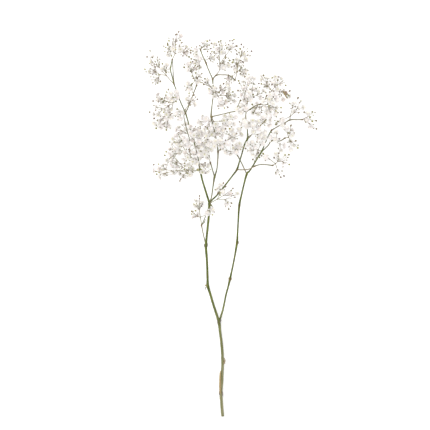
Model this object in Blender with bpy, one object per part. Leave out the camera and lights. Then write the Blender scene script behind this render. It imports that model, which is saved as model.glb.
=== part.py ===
"""A cut gypsophila stem lying on a table: one branching stem and its sprays of double blooms and buds.
Lengths are metres. +Y runs from the cut end to the crown, +X is the photograph's right, +Z is up."""
import math
import random

import bpy
import bmesh
import numpy as np
from mathutils import Vector

for old in list(bpy.data.objects):
    bpy.data.objects.remove(old, do_unlink=True)

# Driving dimensions
MM = 0.001
STEM_LENGTH = 0.600          # from the cut end to the highest bud
LENGTH_PIXELS = 385.0        # the same length in the photograph's pixels
SCALE = STEM_LENGTH / LENGTH_PIXELS
CUT_X, CUT_Y = 222.7, 417.0  # the cut end in the photograph
MIDDLE_X, MIDDLE_Y = 230.7, 224.2  # the middle of the outline, where the frame's origin stands
BLOOM_RADIUS = 4.7 * MM
BUD_RADIUS = 1.5 * MM
STALK_RADIUS = 0.42 * MM
FORK_RADIUS = 1.05 * MM
SEAT_GAP = 0.3 * MM          # between a spray's foot and the knot that carries it
CLEAR = 0.75 * MM            # least way between two sprays
LEAF_GROUP = 5               # blooms and buds that a last fork can carry
BUD_SHARE = 0.5              # buds modelled here, of those the umbels state
KEPT_FACES = 0.50            # share of faces kept where joins left more than the shapes need
SEED = 4120


def place(px, py, height):
    """A point read in the photograph, with its height over the table in millimetres."""
    return Vector(((px - MIDDLE_X) * SCALE, (MIDDLE_Y - py) * SCALE, height * MM))


# Stem paths: pixel x, pixel y, height in mm, radius in mm. A path's last point is a knot, and so is each
# point where it swells.
MAIN = [
    (222.7, 417, 2.3, 2.35), (222.2, 411, 2.3, 2.3), (221.6, 404, 2.4, 2.25), (221.1, 397, 2.6, 2.4),
    (221, 391, 2.8, 2.5), (221.9, 383, 2.8, 2.1), (222.3, 373, 2.9, 2.1), (222.6, 363, 3.1, 2.15),
    (222.3, 352, 3.6, 2.1), (221.2, 341, 4.3, 2.1), (219.9, 330, 5.2, 2.15), (219, 322.5, 6, 2.5),
    (217, 316, 6.8, 2), (215, 310, 7.4, 1.9), (212.5, 302, 8.2, 1.9), (210.2, 294, 9.2, 1.9),
    (207.9, 286.5, 10.2, 2.3), (207.6, 280, 11.2, 1.9), (207.3, 270, 12.5, 1.85), (206.8, 259, 14.2, 1.8),
    (206, 249, 16, 2), (205.9, 245.5, 16.8, 2.2), (206.5, 239, 18, 1.75), (207.3, 231, 19.6, 1.75),
    (208.3, 221, 22, 1.75), (209.2, 211, 24.6, 1.75), (209.4, 203, 27, 2.3),
]
UPPER_LEFT = [
    (209.4, 203, 27, 1.65), (207.2, 196, 29, 1.55), (205, 189, 31.5, 1.5), (202.3, 180, 34, 1.35),
    (200.4, 171, 36.5, 1.6), (199.5, 167, 37.4, 1.25), (198.9, 163, 38.5, 1.5), (197.3, 155, 40, 0.95),
    (195.3, 147, 41.5, 0.9), (192.8, 138, 43.5, 1.2), (190.5, 130.5, 45.5, 0.85), (188.2, 122, 48, 0.85),
    (185.5, 113, 50, 1.2), (183.2, 108, 50, 0.7), (181, 103, 50, 0.65), (179, 98, 50, 0.95),
    (176.7, 91, 50, 0.65), (174, 84, 50, 0.9), (172.3, 77, 49.5, 0.6), (170.6, 69.5, 49, 0.6),
    (172.3, 59.8, 49, 1),
]
LEFT_INNER = [
    (185.5, 113, 50, 0.6), (188, 108, 53, 0.6), (193, 95, 57, 0.6), (196.7, 85.5, 60, 1),
]
RIGHT = [
    (219, 322.5, 6, 1.5), (221, 316.5, 6.8, 1.5), (223, 309.5, 7.5, 1.45), (224.6, 302, 8.3, 1.4),
    (226, 295, 9.2, 1.4), (228.3, 286.5, 10.4, 1.45), (230, 279.3, 11.4, 1.9), (231.6, 272, 12.6, 1.4),
    (233.3, 264, 14, 1.4), (235, 255, 15.8, 1.4), (237, 243, 18.4, 1.9), (237.6, 233, 20.4, 1.35),
    (238.3, 220, 23, 1.3), (239.3, 205.5, 26, 1.8), (241.5, 195, 28.2, 1.3), (243.8, 185, 30.4, 1.25),
    (246.8, 174, 33, 1.7), (249.5, 171, 34, 1.2), (254, 164, 36, 1.1), (257.6, 158, 38, 1.05),
    (261.8, 151.3, 40, 1.4), (264.2, 145.6, 42, 0.8), (268.5, 135.5, 45, 0.75), (271.5, 130.3, 47, 1.1),
]
FAR_RIGHT = [
    (271.5, 130.3, 47, 0.65), (280.5, 125, 44, 0.65), (284, 123.5, 42, 0.65), (289.8, 120, 38, 1.05),
    (296, 119.6, 32, 0.6), (302.3, 119.5, 27, 1),
]
RIGHT_LOW = [
    (261.8, 151.3, 40, 0.65), (265, 148.6, 38.5, 0.65), (268.5, 145, 37.5, 0.65), (272, 140.5, 35.5, 1),
    (279.5, 141, 30, 0.6), (285, 138, 26, 0.95),
]
RIGHT_INNER = [
    (246.8, 174, 33, 0.75), (244.6, 169.5, 34.5, 0.7), (241.3, 162.5, 36.5, 0.7), (236.2, 153.3, 44, 1.1),
]
CENTRE = [
    (209.4, 203, 27, 0.95), (211.5, 197, 30.5, 0.9), (213, 186.5, 35, 0.9), (214.5, 177, 39, 1.5),
    (216.6, 170.5, 43, 0.8), (217.6, 162, 48, 0.75), (218, 152, 53, 1.2), (216.8, 142, 58, 0.7),
    (214, 129, 63, 0.7), (211.2, 117, 67, 1.3), (211.9, 107, 69, 0.7), (213, 97, 70.5, 1),
    (213, 88, 71, 0.7), (212.7, 79.5, 71, 1.2),
]
CENTRE_LEFT = [
    (214.5, 177, 39, 0.75), (213, 171.5, 40.5, 0.7), (212, 168, 41.5, 0.7), (210.3, 162.5, 43, 1.1),
]
CROWN_LEFT = [
    (212.7, 79.5, 71, 0.75), (208, 69, 74, 0.7), (206, 63.5, 75, 1.1), (202.5, 56, 76, 0.75),
    (200.5, 50.3, 77, 1),
]
CROWN_RIGHT = [
    (212.7, 79.5, 71, 0.7), (216.3, 75.7, 73, 1.1), (222, 75.3, 74, 0.6), (229, 76, 74, 0.6),
    (235, 80.5, 72, 1),
]
TOP_TWIG = [
    (211.2, 117, 67, 0.75), (220.5, 115, 77, 0.75), (232, 112.3, 80, 0.7), (240, 111.4, 78, 0.7),
    (246.3, 111.5, 75, 1.2), (256.5, 105.5, 72, 0.65), (260.5, 104.5, 71, 1.1), (264, 101.5, 70, 0.6),
    (266.5, 96, 69, 1),
]
RIGHT_CENTRE = [
    (209.4, 203, 27, 1.2), (213, 199, 26.2, 1.2), (217.6, 194.5, 26, 1.2), (226.5, 183.5, 28.5, 1.15),
    (233, 175, 32, 1.15), (237, 169.5, 34.5, 1.6), (239.2, 162.5, 38, 1.05), (241.8, 154, 42, 1),
    (244.5, 144.5, 46.5, 1.2), (247.5, 138.5, 49.5, 1.5), (247.4, 131, 54, 0.65), (246.8, 122, 58, 1),
]
CROSSING_TWIG = [
    (237, 169.5, 34.5, 0.7), (242, 169.8, 38, 0.65), (249.5, 169, 40, 0.65), (254.5, 166.3, 40.5, 0.95),
    (261.5, 164.5, 36, 0.65), (272.8, 165.4, 26, 1),
]
LOW_TWIG = [
    (205.9, 245.5, 16.8, 0.75), (203.7, 236, 17.5, 0.7), (202.4, 230, 18, 0.75), (201.5, 225.3, 18.5, 1.1),
]
PATHS = {
    "main": MAIN, "upper_left": UPPER_LEFT, "right": RIGHT, "right_centre": RIGHT_CENTRE, "centre": CENTRE,
    "left_inner": LEFT_INNER, "far_right": FAR_RIGHT, "right_low": RIGHT_LOW, "right_inner": RIGHT_INNER,
    "centre_left": CENTRE_LEFT, "crown_left": CROWN_LEFT, "crown_right": CROWN_RIGHT, "top_twig": TOP_TWIG,
    "crossing_twig": CROSSING_TWIG, "low_twig": LOW_TWIG}
STOUT = ("main", "upper_left", "right", "right_centre")  # limbs with more sides than a thin twig
KNOT_SWELL = 1.35  # how far a knot swells past the stem's own radius
KNOT_RISE = 1.08   # a point is a knot where its radius passes both neighbours' by this
KNOTS = [path[-1] for path in PATHS.values()]
for path in PATHS.values():
    for before, row, after in zip(path, path[1:], path[2:]):
        if row[3] > KNOT_RISE * max(before[3], after[3]):
            KNOTS.append(row)
KNOT_AT = {row[:2]: row for row in KNOTS}

# Sprays: the knot each grows from, then its umbels, each as pixel x, pixel y, radius in pixels, height in mm,
# blooms and buds
SPRAYS = {
    "spray_crown_left": ((172.3, 59.8), [
        (176, 42, 9, 50, 4, 9), (169, 50, 6, 40, 2, 4), (185, 52, 6, 57, 3, 3)]),
    "spray_far_left": ((174, 84), [
        (154, 59, 8, 30, 2, 6), (151, 71, 6, 12, 2, 4), (156, 79, 5, 7, 1, 2), (166, 68, 5, 42, 2, 3)]),
    "spray_left": ((179, 98), [
        (161, 99, 8, 34, 4, 3), (172, 97, 7, 60, 4, 3), (154, 112, 7, 22, 3, 4), (158, 123, 6, 8, 3, 3),
        (168, 113, 8, 40, 5, 3), (168, 126, 4, 14, 2, 1)]),
    "spray_left_inner": ((185.5, 113), [(191, 101, 6, 66, 3, 4), (178, 114, 6, 66, 3, 2)]),
    "spray_left_upper": ((196.7, 85.5), [
        (193, 66, 8, 64, 5, 2), (198, 79, 6, 70, 2, 3), (190, 88, 5, 58, 2, 1)]),
    "spray_crown_tip": ((200.5, 50.3), [(206, 46, 6, 72, 2, 5), (194, 51, 5, 76, 1, 2)]),
    "spray_crown_inner": ((206, 63.5), [(197, 63, 6, 70, 3, 1), (213, 57, 5, 68, 2, 2)]),
    "spray_crown_middle": ((216.3, 75.7), [
        (218, 49, 8, 80, 4, 6), (223, 64, 7, 72, 4, 3), (230, 47, 7, 76, 1, 6)]),
    "spray_crown_right": ((235, 80.5), [
        (236, 66, 7, 66, 3, 8), (244, 52, 8, 68, 2, 8), (229, 81, 5, 80, 2, 2), (243, 73, 5, 62, 2, 3)]),
    "spray_upper_middle": ((213, 97), [
        (214, 91, 6, 84, 3, 0), (225, 90, 7, 58, 4, 2), (222, 104, 6, 80, 3, 1), (204, 81, 4, 62, 1, 1),
        (232, 98, 6, 66, 3, 2)]),
    "spray_heart": ((211.2, 117), [
        (212, 131, 8, 82, 6, 0), (229, 121, 8, 88, 7, 1), (203, 123, 7, 78, 5, 0), (222, 131, 6, 72, 3, 0)]),
    "spray_heart_low": ((218, 152), [
        (233, 133, 8, 66, 6, 0), (221, 143, 8, 78, 5, 0), (208, 127, 6, 44, 3, 0)]),
    "spray_heart_left": ((210.3, 162.5), [(208, 145, 7, 64, 5, 0), (203, 156, 6, 56, 3, 1)]),
    "spray_heart_right": ((236.2, 153.3), [(229, 149, 7, 58, 4, 1), (237, 147, 5, 64, 3, 1)]),
    "spray_low_lobe": ((200.4, 171), [
        (159, 171, 8, 12, 5, 4), (170, 164, 8, 24, 5, 4), (181, 173, 8, 8, 4, 3), (190, 170, 6, 26, 3, 3)]),
    "spray_low_left": ((198.9, 163), [
        (174, 151, 8, 34, 6, 3), (177, 138, 8, 24, 5, 1), (190, 158, 8, 62, 7, 3), (204, 168, 6, 56, 4, 3)]),
    "spray_low_inner": ((192.8, 138), [
        (189, 146, 8, 66, 6, 1), (203, 149, 7, 80, 5, 1), (196, 132, 8, 62, 6, 0), (182, 128, 7, 36, 4, 0),
        (203, 138, 6, 58, 3, 0)]),
    "spray_small_left": ((201.5, 225.3), [
        (198, 201, 6, 14, 3, 4), (196, 214, 5, 8, 2, 3), (211, 211, 4, 36, 2, 2)]),
    "spray_small_right": ((209.4, 203), [
        (221, 189, 6, 46, 3, 6), (234, 193, 5, 54, 2, 4), (228, 206, 4, 44, 1, 3)]),
    "spray_top": ((246.3, 111.5), [
        (248, 82, 9, 66, 4, 8), (245, 96, 8, 82, 6, 3), (241, 107, 7, 88, 4, 1), (258, 93, 7, 60, 4, 2)]),
    "spray_top_right": ((260.5, 104.5), [
        (270, 99, 8, 84, 6, 4), (273, 111, 8, 80, 6, 3), (258, 110, 7, 56, 5, 3)]),
    "spray_top_far": ((266.5, 96), [
        (264, 82, 7, 50, 3, 3), (276, 83, 8, 60, 5, 8), (285, 95, 6, 48, 3, 2)]),
    "spray_right_inner": ((247.5, 138.5), [(254, 125, 8, 74, 6, 0), (260, 135, 6, 66, 3, 0)]),
    "spray_right_upper": ((246.8, 122), [(243, 126, 7, 72, 4, 0), (266, 121, 7, 66, 4, 0)]),
    "spray_far_up": ((289.8, 120), [(298, 106, 9, 36, 4, 8), (281, 122, 6, 54, 2, 5)]),
    "spray_far_right": ((302.3, 119.5), [(310, 116, 7, 16, 2, 7), (313, 127, 4, 7, 1, 2)]),
    "spray_right_near": ((272, 140.5), [(273, 137, 6, 44, 3, 2), (282, 148, 5, 10, 2, 0)]),
    "spray_right_low": ((285, 138), [(289, 131, 6, 24, 3, 5), (292, 146, 6, 14, 3, 3)]),
    "spray_twig_right": ((272.8, 165.4), [
        (284, 161, 7, 10, 2, 6), (265, 158, 5, 32, 1, 3), (280, 172, 5, 8, 1, 4), (278, 155, 4, 20, 1, 2)]),
    "spray_right_heart": ((261.8, 151.3), [
        (252, 148, 7, 50, 5, 2), (256, 157, 5, 28, 2, 1), (263, 141, 4, 54, 2, 0)]),
}
RESTING = ("spray_far_left", "spray_left", "spray_low_lobe", "spray_far_right", "spray_twig_right")


class Crowd:
    """Everything already placed, as rods with a radius, so that later pieces can keep clear of it."""

    def __init__(self):
        self.rows = []
        self.owner = []
        self.grid = None

    def add(self, owner, a, b, radius):
        self.rows.append((*a, *b, radius))
        self.owner.append(owner)
        self.grid = None

    def near(self, owner, a, b, radius, skip_start=0.0, same=False):
        """The least way from a rod, less its start, to the rods of other owners or of the same one."""
        if self.grid is None:
            self.grid = np.array(self.rows)
            self.names = np.array(self.owner)
        rods = self.grid[(self.names == owner) == same]
        if not len(rods):
            return 1.0
        long = max((b - a).length, 1e-9)
        steps = max(2, int(long / (0.8 * MM)) + 1)
        ts = np.linspace(min(skip_start / long, 1.0), 1.0, steps)
        points = np.array(a)[None, :] + ts[:, None] * np.array(b - a)[None, :]
        start, way = rods[:, 0:3], rods[:, 3:6] - rods[:, 0:3]
        size = np.maximum((way * way).sum(1), 1e-12)
        off = points[:, None, :] - start[None, :, :]
        along = np.clip((off * way[None, :, :]).sum(2) / size[None, :], 0, 1)
        gaps = np.linalg.norm(off - along[:, :, None] * way[None, :, :], axis=2) - rods[None, :, 6]
        return float(gaps.min()) - radius


def anywhere(draw):
    """A unit vector with no favoured way."""
    z = draw.uniform(-1, 1)
    turn = draw.uniform(0, 2 * math.pi)
    flat = math.sqrt(max(0.0, 1 - z * z))
    return Vector((flat * math.cos(turn), flat * math.sin(turn), z))


def bend_clear(crowd, owner, a, b, radius, draw, skip=0.0, blooms=None):
    """A little curved way from a to b, clear of other sprays, and past its own spray's blooms if it can."""
    length = (b - a).length
    best, best_score = None, -9.0
    for turn in range(48):
        sway = (0.03 + 0.013 * turn) * length
        middle = (a + b) / 2 + anywhere(draw) * sway
        points = [a, middle, b] if length > 20 * MM or turn > 0 else [a, b]
        spans = list(zip(points, points[1:]))
        gap = min(crowd.near(owner, p, q, radius, skip if p is a else 0.0) for p, q in spans)
        low = min(p.z for p in points) - radius
        if gap < CLEAR * (1.0 if turn < 40 else 0.6) or low < 0.2 * MM:
            continue
        own = 1.0
        if blooms is not None:
            own = min(blooms.near(owner, p, q, radius, same=True) for p, q in spans)
        score = min(own, 0.0) - (0.2 * MM) * (turn > 0)
        if score > best_score:
            best, best_score = points, score
        if own >= 0 or (best is not None and turn > 18):
            break
    return best


def split(points, start):
    """Part the tips into two groups across their widest spread, as a fork does."""
    spots = np.array([np.array(t["at"]) for t in points])
    centre = spots.mean(0)
    heading = centre - np.array(start)
    heading /= max(np.linalg.norm(heading), 1e-9)
    flat = spots - centre
    flat = flat - (flat @ heading)[:, None] * heading[None, :] * 0.6
    axis = np.linalg.svd(flat, full_matrices=False)[2][0]
    order = np.argsort(flat @ axis, kind="stable")
    ranked = flat[order] @ axis
    cuts = range(max(1, len(points) // 4), len(points) - max(1, len(points) // 4) + 1)
    cut = max(cuts, key=lambda k: ranked[k] - ranked[k - 1])
    return [[points[i] for i in order[:cut]], [points[i] for i in order[cut:]]]


def away_from_stem(seat, out):
    """A spray's first way out of its knot, turned aside where it would run along the stem."""
    for path in PATHS.values():
        spots = [place(*row[:3]) for row in path]
        for k, spot in enumerate(spots):
            if (spot - seat).length > 0.5 * MM:
                continue
            for other in spots[max(k - 1, 0):k] + spots[k + 1:k + 2]:
                along = (other - seat).normalized()
                if out.dot(along) > 0.7:
                    aside = out - along * out.dot(along)
                    if aside.length < 0.1:
                        aside = along.cross(Vector((0.2, 0.1, 1)))
                    out = (along * 0.6 + aside.normalized() * 0.8).normalized()
    return out


def plan_sprays():
    """Place blooms and buds by seeded draws in their umbels, then join them to the knot by forking twigs."""
    crowd = Crowd()
    for name, path in PATHS.items():
        spots = [place(*row[:3]) for row in path]
        for p, q, row, after in zip(spots, spots[1:], path, path[1:]):
            crowd.add("stem", p, q, max(row[3], after[3]) * MM * 1.1)
    for row in KNOTS:
        crowd.add("stem", place(*row[:3]), place(*row[:3]) + Vector((0, 0, 1e-6)), row[3] * KNOT_SWELL * MM)
    sprays, open_blooms = {}, []
    for number, (name, (spot, umbels)) in enumerate(SPRAYS.items()):
        draw = random.Random(SEED + 31 * number)
        knot = KNOT_AT[spot]
        seat = place(*knot[:3])
        tips = []
        for ux, uy, spread, height, blooms, buds in umbels:
            middle = place(ux, uy, height)
            outward = (middle - seat).normalized()
            reach = Vector((spread * SCALE, spread * SCALE, spread * SCALE * 0.95))
            for kind, count in (("bloom", blooms), ("bud", int(buds * BUD_SHARE + 0.5))):
                for _ in range(count):
                    for attempt in range(400):
                        way = anywhere(draw)
                        if kind == "bud" and way.dot(outward) < 0 and draw.random() < 0.7:
                            way = -way
                        share = draw.uniform(0.2, 1.0) if kind == "bloom" else draw.uniform(0.8, 1.2)
                        share *= 1 + attempt * 0.002
                        at = middle + Vector(way[i] * reach[i] * share for i in range(3))
                        size = draw.uniform(0.9, 1.08)
                        radius = (BLOOM_RADIUS if kind == "bloom" else BUD_RADIUS) * size
                        if at.z < radius * (0.62 if kind == "bloom" else 1.0):
                            continue
                        apart = {"bloombloom": 0.92, "bloombud": 0.95, "budbloom": 0.95, "budbud": 1.2}
                        if any((at - t["at"]).length < (radius + t["size"]) * apart[kind + t["kind"]]
                               for t in tips):
                            continue
                        crowding = (0.86 if kind == "bloom" else 0.7) * (1 - attempt / 400)
                        if any((at - t).xy.length < 2 * BLOOM_RADIUS * crowding for t in open_blooms):
                            continue
                        if crowd.near(name, at, at + Vector((0, 0, 1e-6)), radius) < CLEAR:
                            continue
                        tips.append({"kind": kind, "at": at, "size": radius, "turn": draw.uniform(0, 6.28),
                                     "lean": anywhere(draw)})
                        if kind == "bloom":
                            open_blooms.append(at)
                        break
        if name in RESTING:
            lowest = min((t for t in tips if t["kind"] == "bloom"), key=lambda t: t["at"].z)
            lowest["at"].z = lowest["size"] * 0.5
        spray = {"twigs": [], "forks": [], "tips": [], "draw": draw}
        sprays[name] = spray
        for t in tips:
            crowd.add(name, t["at"], t["at"] + Vector((0, 0, 1e-6)), t["size"])

        def others(group):
            """The blooms of this spray that a twig towards the group should pass by."""
            field = Crowd()
            field.add("far", Vector((9, 9, 9)), Vector((9, 9, 9.1)), 0.0)
            for t in tips:
                if not (len(group) == 1 and t is group[0]):
                    field.add(name, t["at"], t["at"] + Vector((0, 0, 1e-6)), t["size"] * 0.72)
            return field

        middle = sum((t["at"] for t in tips), Vector()) / len(tips)
        out = away_from_stem(seat, (middle - seat).normalized())
        foot = seat + out * (knot[3] * KNOT_SWELL * MM + SEAT_GAP)

        def grow(start, group, first):
            centre = sum((t["at"] for t in group), Vector()) / len(group)
            if len(group) <= LEAF_GROUP and (centre - start).length < 9 * MM and not first:
                fork = start
            else:
                share = 0.42 if len(group) > 6 else 0.5
                fork = None
                field = others(group)
                thick = STALK_RADIUS * (1.0 + 0.05 * min(len(group), 14))
                for attempt in range(25):
                    aim = start + (centre - start) * share * (1 - 0.02 * attempt)
                    aim += anywhere(draw) * (centre - start).length * (0.05 + 0.03 * attempt)
                    aim.z = max(aim.z, 1.6 * MM)
                    dot = aim + Vector((0, 0, 1e-6))
                    if crowd.near(name, aim, dot, FORK_RADIUS) < CLEAR:
                        continue
                    if attempt < 15 and field.near(name, aim, dot, FORK_RADIUS, same=True) < 0:
                        continue
                    bent = bend_clear(crowd, name, start, aim, thick, draw, 2.5 * MM if first else 0.0, field)
                    if bent:
                        fork = aim
                        break
                if fork is None:
                    print("no way for a fork in", name)
                    return
                spray["twigs"].append((bent, thick, thick * 0.92))
                spray["forks"].append((fork, FORK_RADIUS * (1.0 + 0.02 * min(len(group), 14))))
                for p, q in zip(bent, bent[1:]):
                    crowd.add(name, p, q, thick)
                crowd.add(name, fork, fork + Vector((0, 0, 1e-6)), FORK_RADIUS)
            if len(group) <= LEAF_GROUP:
                for t in group:
                    finish(fork, t)
                return
            parts = split(group, fork)
            if len(group) > 2 * LEAF_GROUP:
                parts.sort(key=len)
                parts += split(parts.pop(), fork)
            for part in parts:
                grow(fork, part, False)

        def finish(fork, t):
            way = (t["at"] - fork).normalized()
            face = (way * 0.8 + Vector((0, 0, 0.6)) + t["lean"] * 0.45).normalized()
            if face.z < -0.5 and t["at"].z < 8 * MM:
                face.z = 0.0
                face.normalize()
            neck = t["at"] - face * t["size"] * (0.62 if t["kind"] == "bloom" else 1.0)
            bent = bend_clear(crowd, name, fork, neck, STALK_RADIUS, draw, 0.0, others([t]))
            if bent is None:
                print("no way for a stalk in", name)
                return
            spray["tips"].append({**t, "face": face, "stalk": bent})
            for p, q in zip(bent, bent[1:]):
                crowd.add(name, p, q, STALK_RADIUS)

        grow(foot, tips, True)
    return sprays


def square(axis, hint=Vector((0.31, 0.52, 0.79))):
    """Two unit vectors across an axis."""
    u = axis.cross(hint)
    if u.length < 0.05:
        u = axis.cross(Vector((1, 0, 0)))
    u.normalize()
    return u, axis.cross(u).normalized()


def loft(name, rings, home):
    """A closed solid through rings of any number of points; a ring of one point is a tip."""
    verts, faces, spans = [], [], []
    for ring in rings:
        spans.append(list(range(len(verts), len(verts) + len(ring))))
        verts.extend(ring)
    for low, high in zip(spans, spans[1:]):
        n, m = len(low), len(high)
        i = j = 0
        while i < n * (n > 1) or j < m * (m > 1):
            next_low = (i + 1) / n if n > 1 else 9
            next_high = (j + 1) / m if m > 1 else 9
            if next_low <= next_high:
                faces.append((low[i % n], low[(i + 1) % n], high[j % m]))
                i += 1
            else:
                faces.append((low[i % n], high[(j + 1) % m], high[j % m]))
                j += 1
    for ends, flip in ((spans[0], True), (spans[-1], False)):
        if len(ends) > 2:
            faces.append(tuple(reversed(ends)) if flip else tuple(ends))
    mesh = bpy.data.meshes.new(name)
    mesh.from_pydata([tuple(v) for v in verts], [], faces)
    work = bmesh.new()
    work.from_mesh(mesh)
    bmesh.ops.recalc_face_normals(work, faces=work.faces)
    bmesh.ops.triangulate(work, faces=work.faces)
    work.to_mesh(mesh)
    work.free()
    piece = bpy.data.objects.new(name, mesh)
    home.objects.link(piece)
    return piece


def ring(centre, axis, radius, count, turn=0.0, lift=None, reach=None):
    """Points round an axis, each with its own lift and reach where given."""
    u, v = square(axis)
    spots = []
    for k in range(count):
        angle = turn + 2 * math.pi * k / count
        far = radius * (reach[k] if reach else 1.0)
        high = radius * (lift[k] if lift else 0.0)
        spots.append(centre + (u * math.cos(angle) + v * math.sin(angle)) * far + axis * high)
    return spots


def stalk_rings(points, start_radius, end_radius, sides=3, turn=0.0):
    """Rings along a bent way."""
    rings = []
    for k, p in enumerate(points):
        before = points[max(k - 1, 0)]
        after = points[min(k + 1, len(points) - 1)]
        share = k / (len(points) - 1)
        radius = start_radius + (end_radius - start_radius) * share
        rings.append(ring(p, (after - before).normalized(), radius, sides, turn))
    return rings


def bloom(name, tip, draw, home):
    """A double bloom on its stalk: a narrow cup, five spread petals and an inner layer that stands up."""
    r, face, at, turn = tip["size"], tip["face"], tip["at"], tip["turn"]
    rings = stalk_rings(tip["stalk"], STALK_RADIUS, STALK_RADIUS * 1.15, turn=turn)
    outer_reach = [draw.uniform(0.96, 1.05) if k % 2 == 0 else draw.uniform(0.74, 0.84) for k in range(10)]
    outer_lift = [draw.uniform(-0.06, 0.18) if k % 2 == 0 else draw.uniform(-0.18, -0.06) for k in range(10)]
    rings.append(ring(at, face, r, 10, turn, outer_lift, outer_reach))
    rings.append(ring(at, face, r, 5, turn + 0.31, [draw.uniform(0.34, 0.58) for k in range(5)],
                      [draw.uniform(0.42, 0.58) for k in range(5)]))
    rings.append([at + face * r * 0.16])
    return loft(name, rings, home)


def bud(name, tip, home):
    """A round bud on its stalk."""
    r, face, at = tip["size"], tip["face"], tip["at"]
    rings = stalk_rings(tip["stalk"], STALK_RADIUS, STALK_RADIUS * 0.9, turn=tip["turn"])
    rings.append(ring(at, face, r, 4, tip["turn"]))
    rings.append([at + face * r * 1.15])
    return loft(name, rings, home)


def twig(name, points, start, end, swell, home):
    """A twig that ends in the small swollen knot where the next ones part."""
    way = (points[-1] - points[-2]).normalized()
    rings = stalk_rings(points[:-1] + [points[-1] - way * swell], start, end)
    rings.append(ring(points[-1], way, swell, 4))
    rings.append([points[-1] + way * swell])
    return loft(name, rings, home)


def tube(name, path, home, sides_more):
    """A stem as a bevelled curve with filled ends, made a plain mesh."""
    curve = bpy.data.curves.new(name, "CURVE")
    curve.dimensions = "3D"
    curve.bevel_depth = MM
    curve.bevel_resolution = sides_more
    curve.use_fill_caps = True
    line = curve.splines.new("POLY")
    line.points.add(len(path) - 1)
    for point, row in zip(line.points, path):
        point.co = (*place(*row[:3]), 1)
        point.radius = row[3]
    shape = bpy.data.objects.new(name, curve)
    home.objects.link(shape)
    bpy.context.view_layer.update()
    mesh = bpy.data.meshes.new_from_object(shape.evaluated_get(bpy.context.evaluated_depsgraph_get()))
    work = bmesh.new()
    work.from_mesh(mesh)
    bmesh.ops.remove_doubles(work, verts=work.verts, dist=1e-6)
    bmesh.ops.recalc_face_normals(work, faces=work.faces)
    bmesh.ops.triangulate(work, faces=work.faces)
    work.to_mesh(mesh)
    work.free()
    bpy.data.objects.remove(shape, do_unlink=True)
    piece = bpy.data.objects.new(name, mesh)
    home.objects.link(piece)
    return piece


def knob(name, centre, radius, home, stretch=(1, 1, 1), subdivisions=1):
    """A small round swelling."""
    work = bmesh.new()
    bmesh.ops.create_icosphere(work, subdivisions=subdivisions, radius=radius)
    for vert in work.verts:
        vert.co = Vector(vert.co[i] * stretch[i] for i in range(3)) + centre
    mesh = bpy.data.meshes.new(name)
    work.to_mesh(mesh)
    work.free()
    piece = bpy.data.objects.new(name, mesh)
    home.objects.link(piece)
    return piece


def fuse(name, pieces, cutter):
    """One Boolean union of every piece, with a flat foot where it meets the table."""
    body = pieces[0]
    rest = bpy.data.collections.new(name + "_pieces")
    bpy.context.scene.collection.children.link(rest)
    for piece in pieces[1:]:
        for home in list(piece.users_collection):
            home.objects.unlink(piece)
        rest.objects.link(piece)
    join = body.modifiers.new("join", "BOOLEAN")
    join.operation = "UNION"
    join.operand_type = "COLLECTION"
    join.collection = rest
    join.solver = "MANIFOLD"
    bpy.context.view_layer.update()
    graph = bpy.context.evaluated_depsgraph_get()
    mesh = bpy.data.meshes.new_from_object(body.evaluated_get(graph))
    for piece in list(rest.objects):
        bpy.data.objects.remove(piece, do_unlink=True)
    bpy.data.collections.remove(rest)
    bpy.data.objects.remove(body, do_unlink=True)
    tidy(mesh, 0.0)
    fused = bpy.data.objects.new(name, mesh)
    part.objects.link(fused)
    fewer = fused.modifiers.new("fewer faces", "DECIMATE")
    fewer.use_collapse_triangulate = True
    if cutter is not None:
        cut = fused.modifiers.new("table", "BOOLEAN")
        cut.operation = "DIFFERENCE"
        cut.object = cutter
        cut.solver = "MANIFOLD"
    for attempt in range(6):
        fewer.ratio = KEPT_FACES + 0.03 * attempt
        bpy.context.view_layer.update()
        graph = bpy.context.evaluated_depsgraph_get()
        mesh = bpy.data.meshes.new_from_object(fused.evaluated_get(graph))
        if tidy(mesh, 2e-6):
            break
    fused.modifiers.clear()
    fused.data = mesh
    mesh.name = name
    return fused


def tidy(mesh, sliver):
    """Drop slivers and what isn't part of the one body, face every side out, and say if it is closed."""
    work = bmesh.new()
    work.from_mesh(mesh)
    if sliver:
        bmesh.ops.dissolve_degenerate(work, edges=work.edges, dist=sliver)
    keep_whole(work)
    bmesh.ops.triangulate(work, faces=work.faces)
    bmesh.ops.recalc_face_normals(work, faces=work.faces)
    closed = all(len(edge.link_faces) == 2 for edge in work.edges)
    work.to_mesh(mesh)
    work.free()
    return closed


def keep_whole(work):
    """Drop loose scrap and sealed hollows: only the island with the most surface stays."""
    work.faces.ensure_lookup_table()
    seen, islands = set(), []
    for face in work.faces:
        if face in seen:
            continue
        island, stack = [], [face]
        seen.add(face)
        while stack:
            f = stack.pop()
            island.append(f)
            for edge in f.edges:
                for other in edge.link_faces:
                    if other not in seen:
                        seen.add(other)
                        stack.append(other)
        islands.append(island)
    islands.sort(key=lambda group: -sum(f.calc_area() for f in group))
    for group in islands[1:]:
        bmesh.ops.delete(work, geom=group, context="FACES")
    loose = [v for v in work.verts if not v.link_faces]
    bmesh.ops.delete(work, geom=loose, context="VERTS")
    return islands


def paint(piece, name, colour, roughness):
    """The piece's own material."""
    stuff = bpy.data.materials.new(name)
    stuff.use_nodes = True
    shader = stuff.node_tree.nodes["Principled BSDF"]
    shader.inputs["Base Color"].default_value = (*colour, 1)
    shader.inputs["Roughness"].default_value = roughness
    piece.data.materials.clear()
    piece.data.materials.append(stuff)
    for face in piece.data.polygons:
        face.material_index = 0


part = bpy.data.collections.new("gypsophila_stem")
bpy.context.scene.collection.children.link(part)
cutters = bpy.data.collections.new("cutters")
bpy.context.scene.collection.children.link(cutters)

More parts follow.
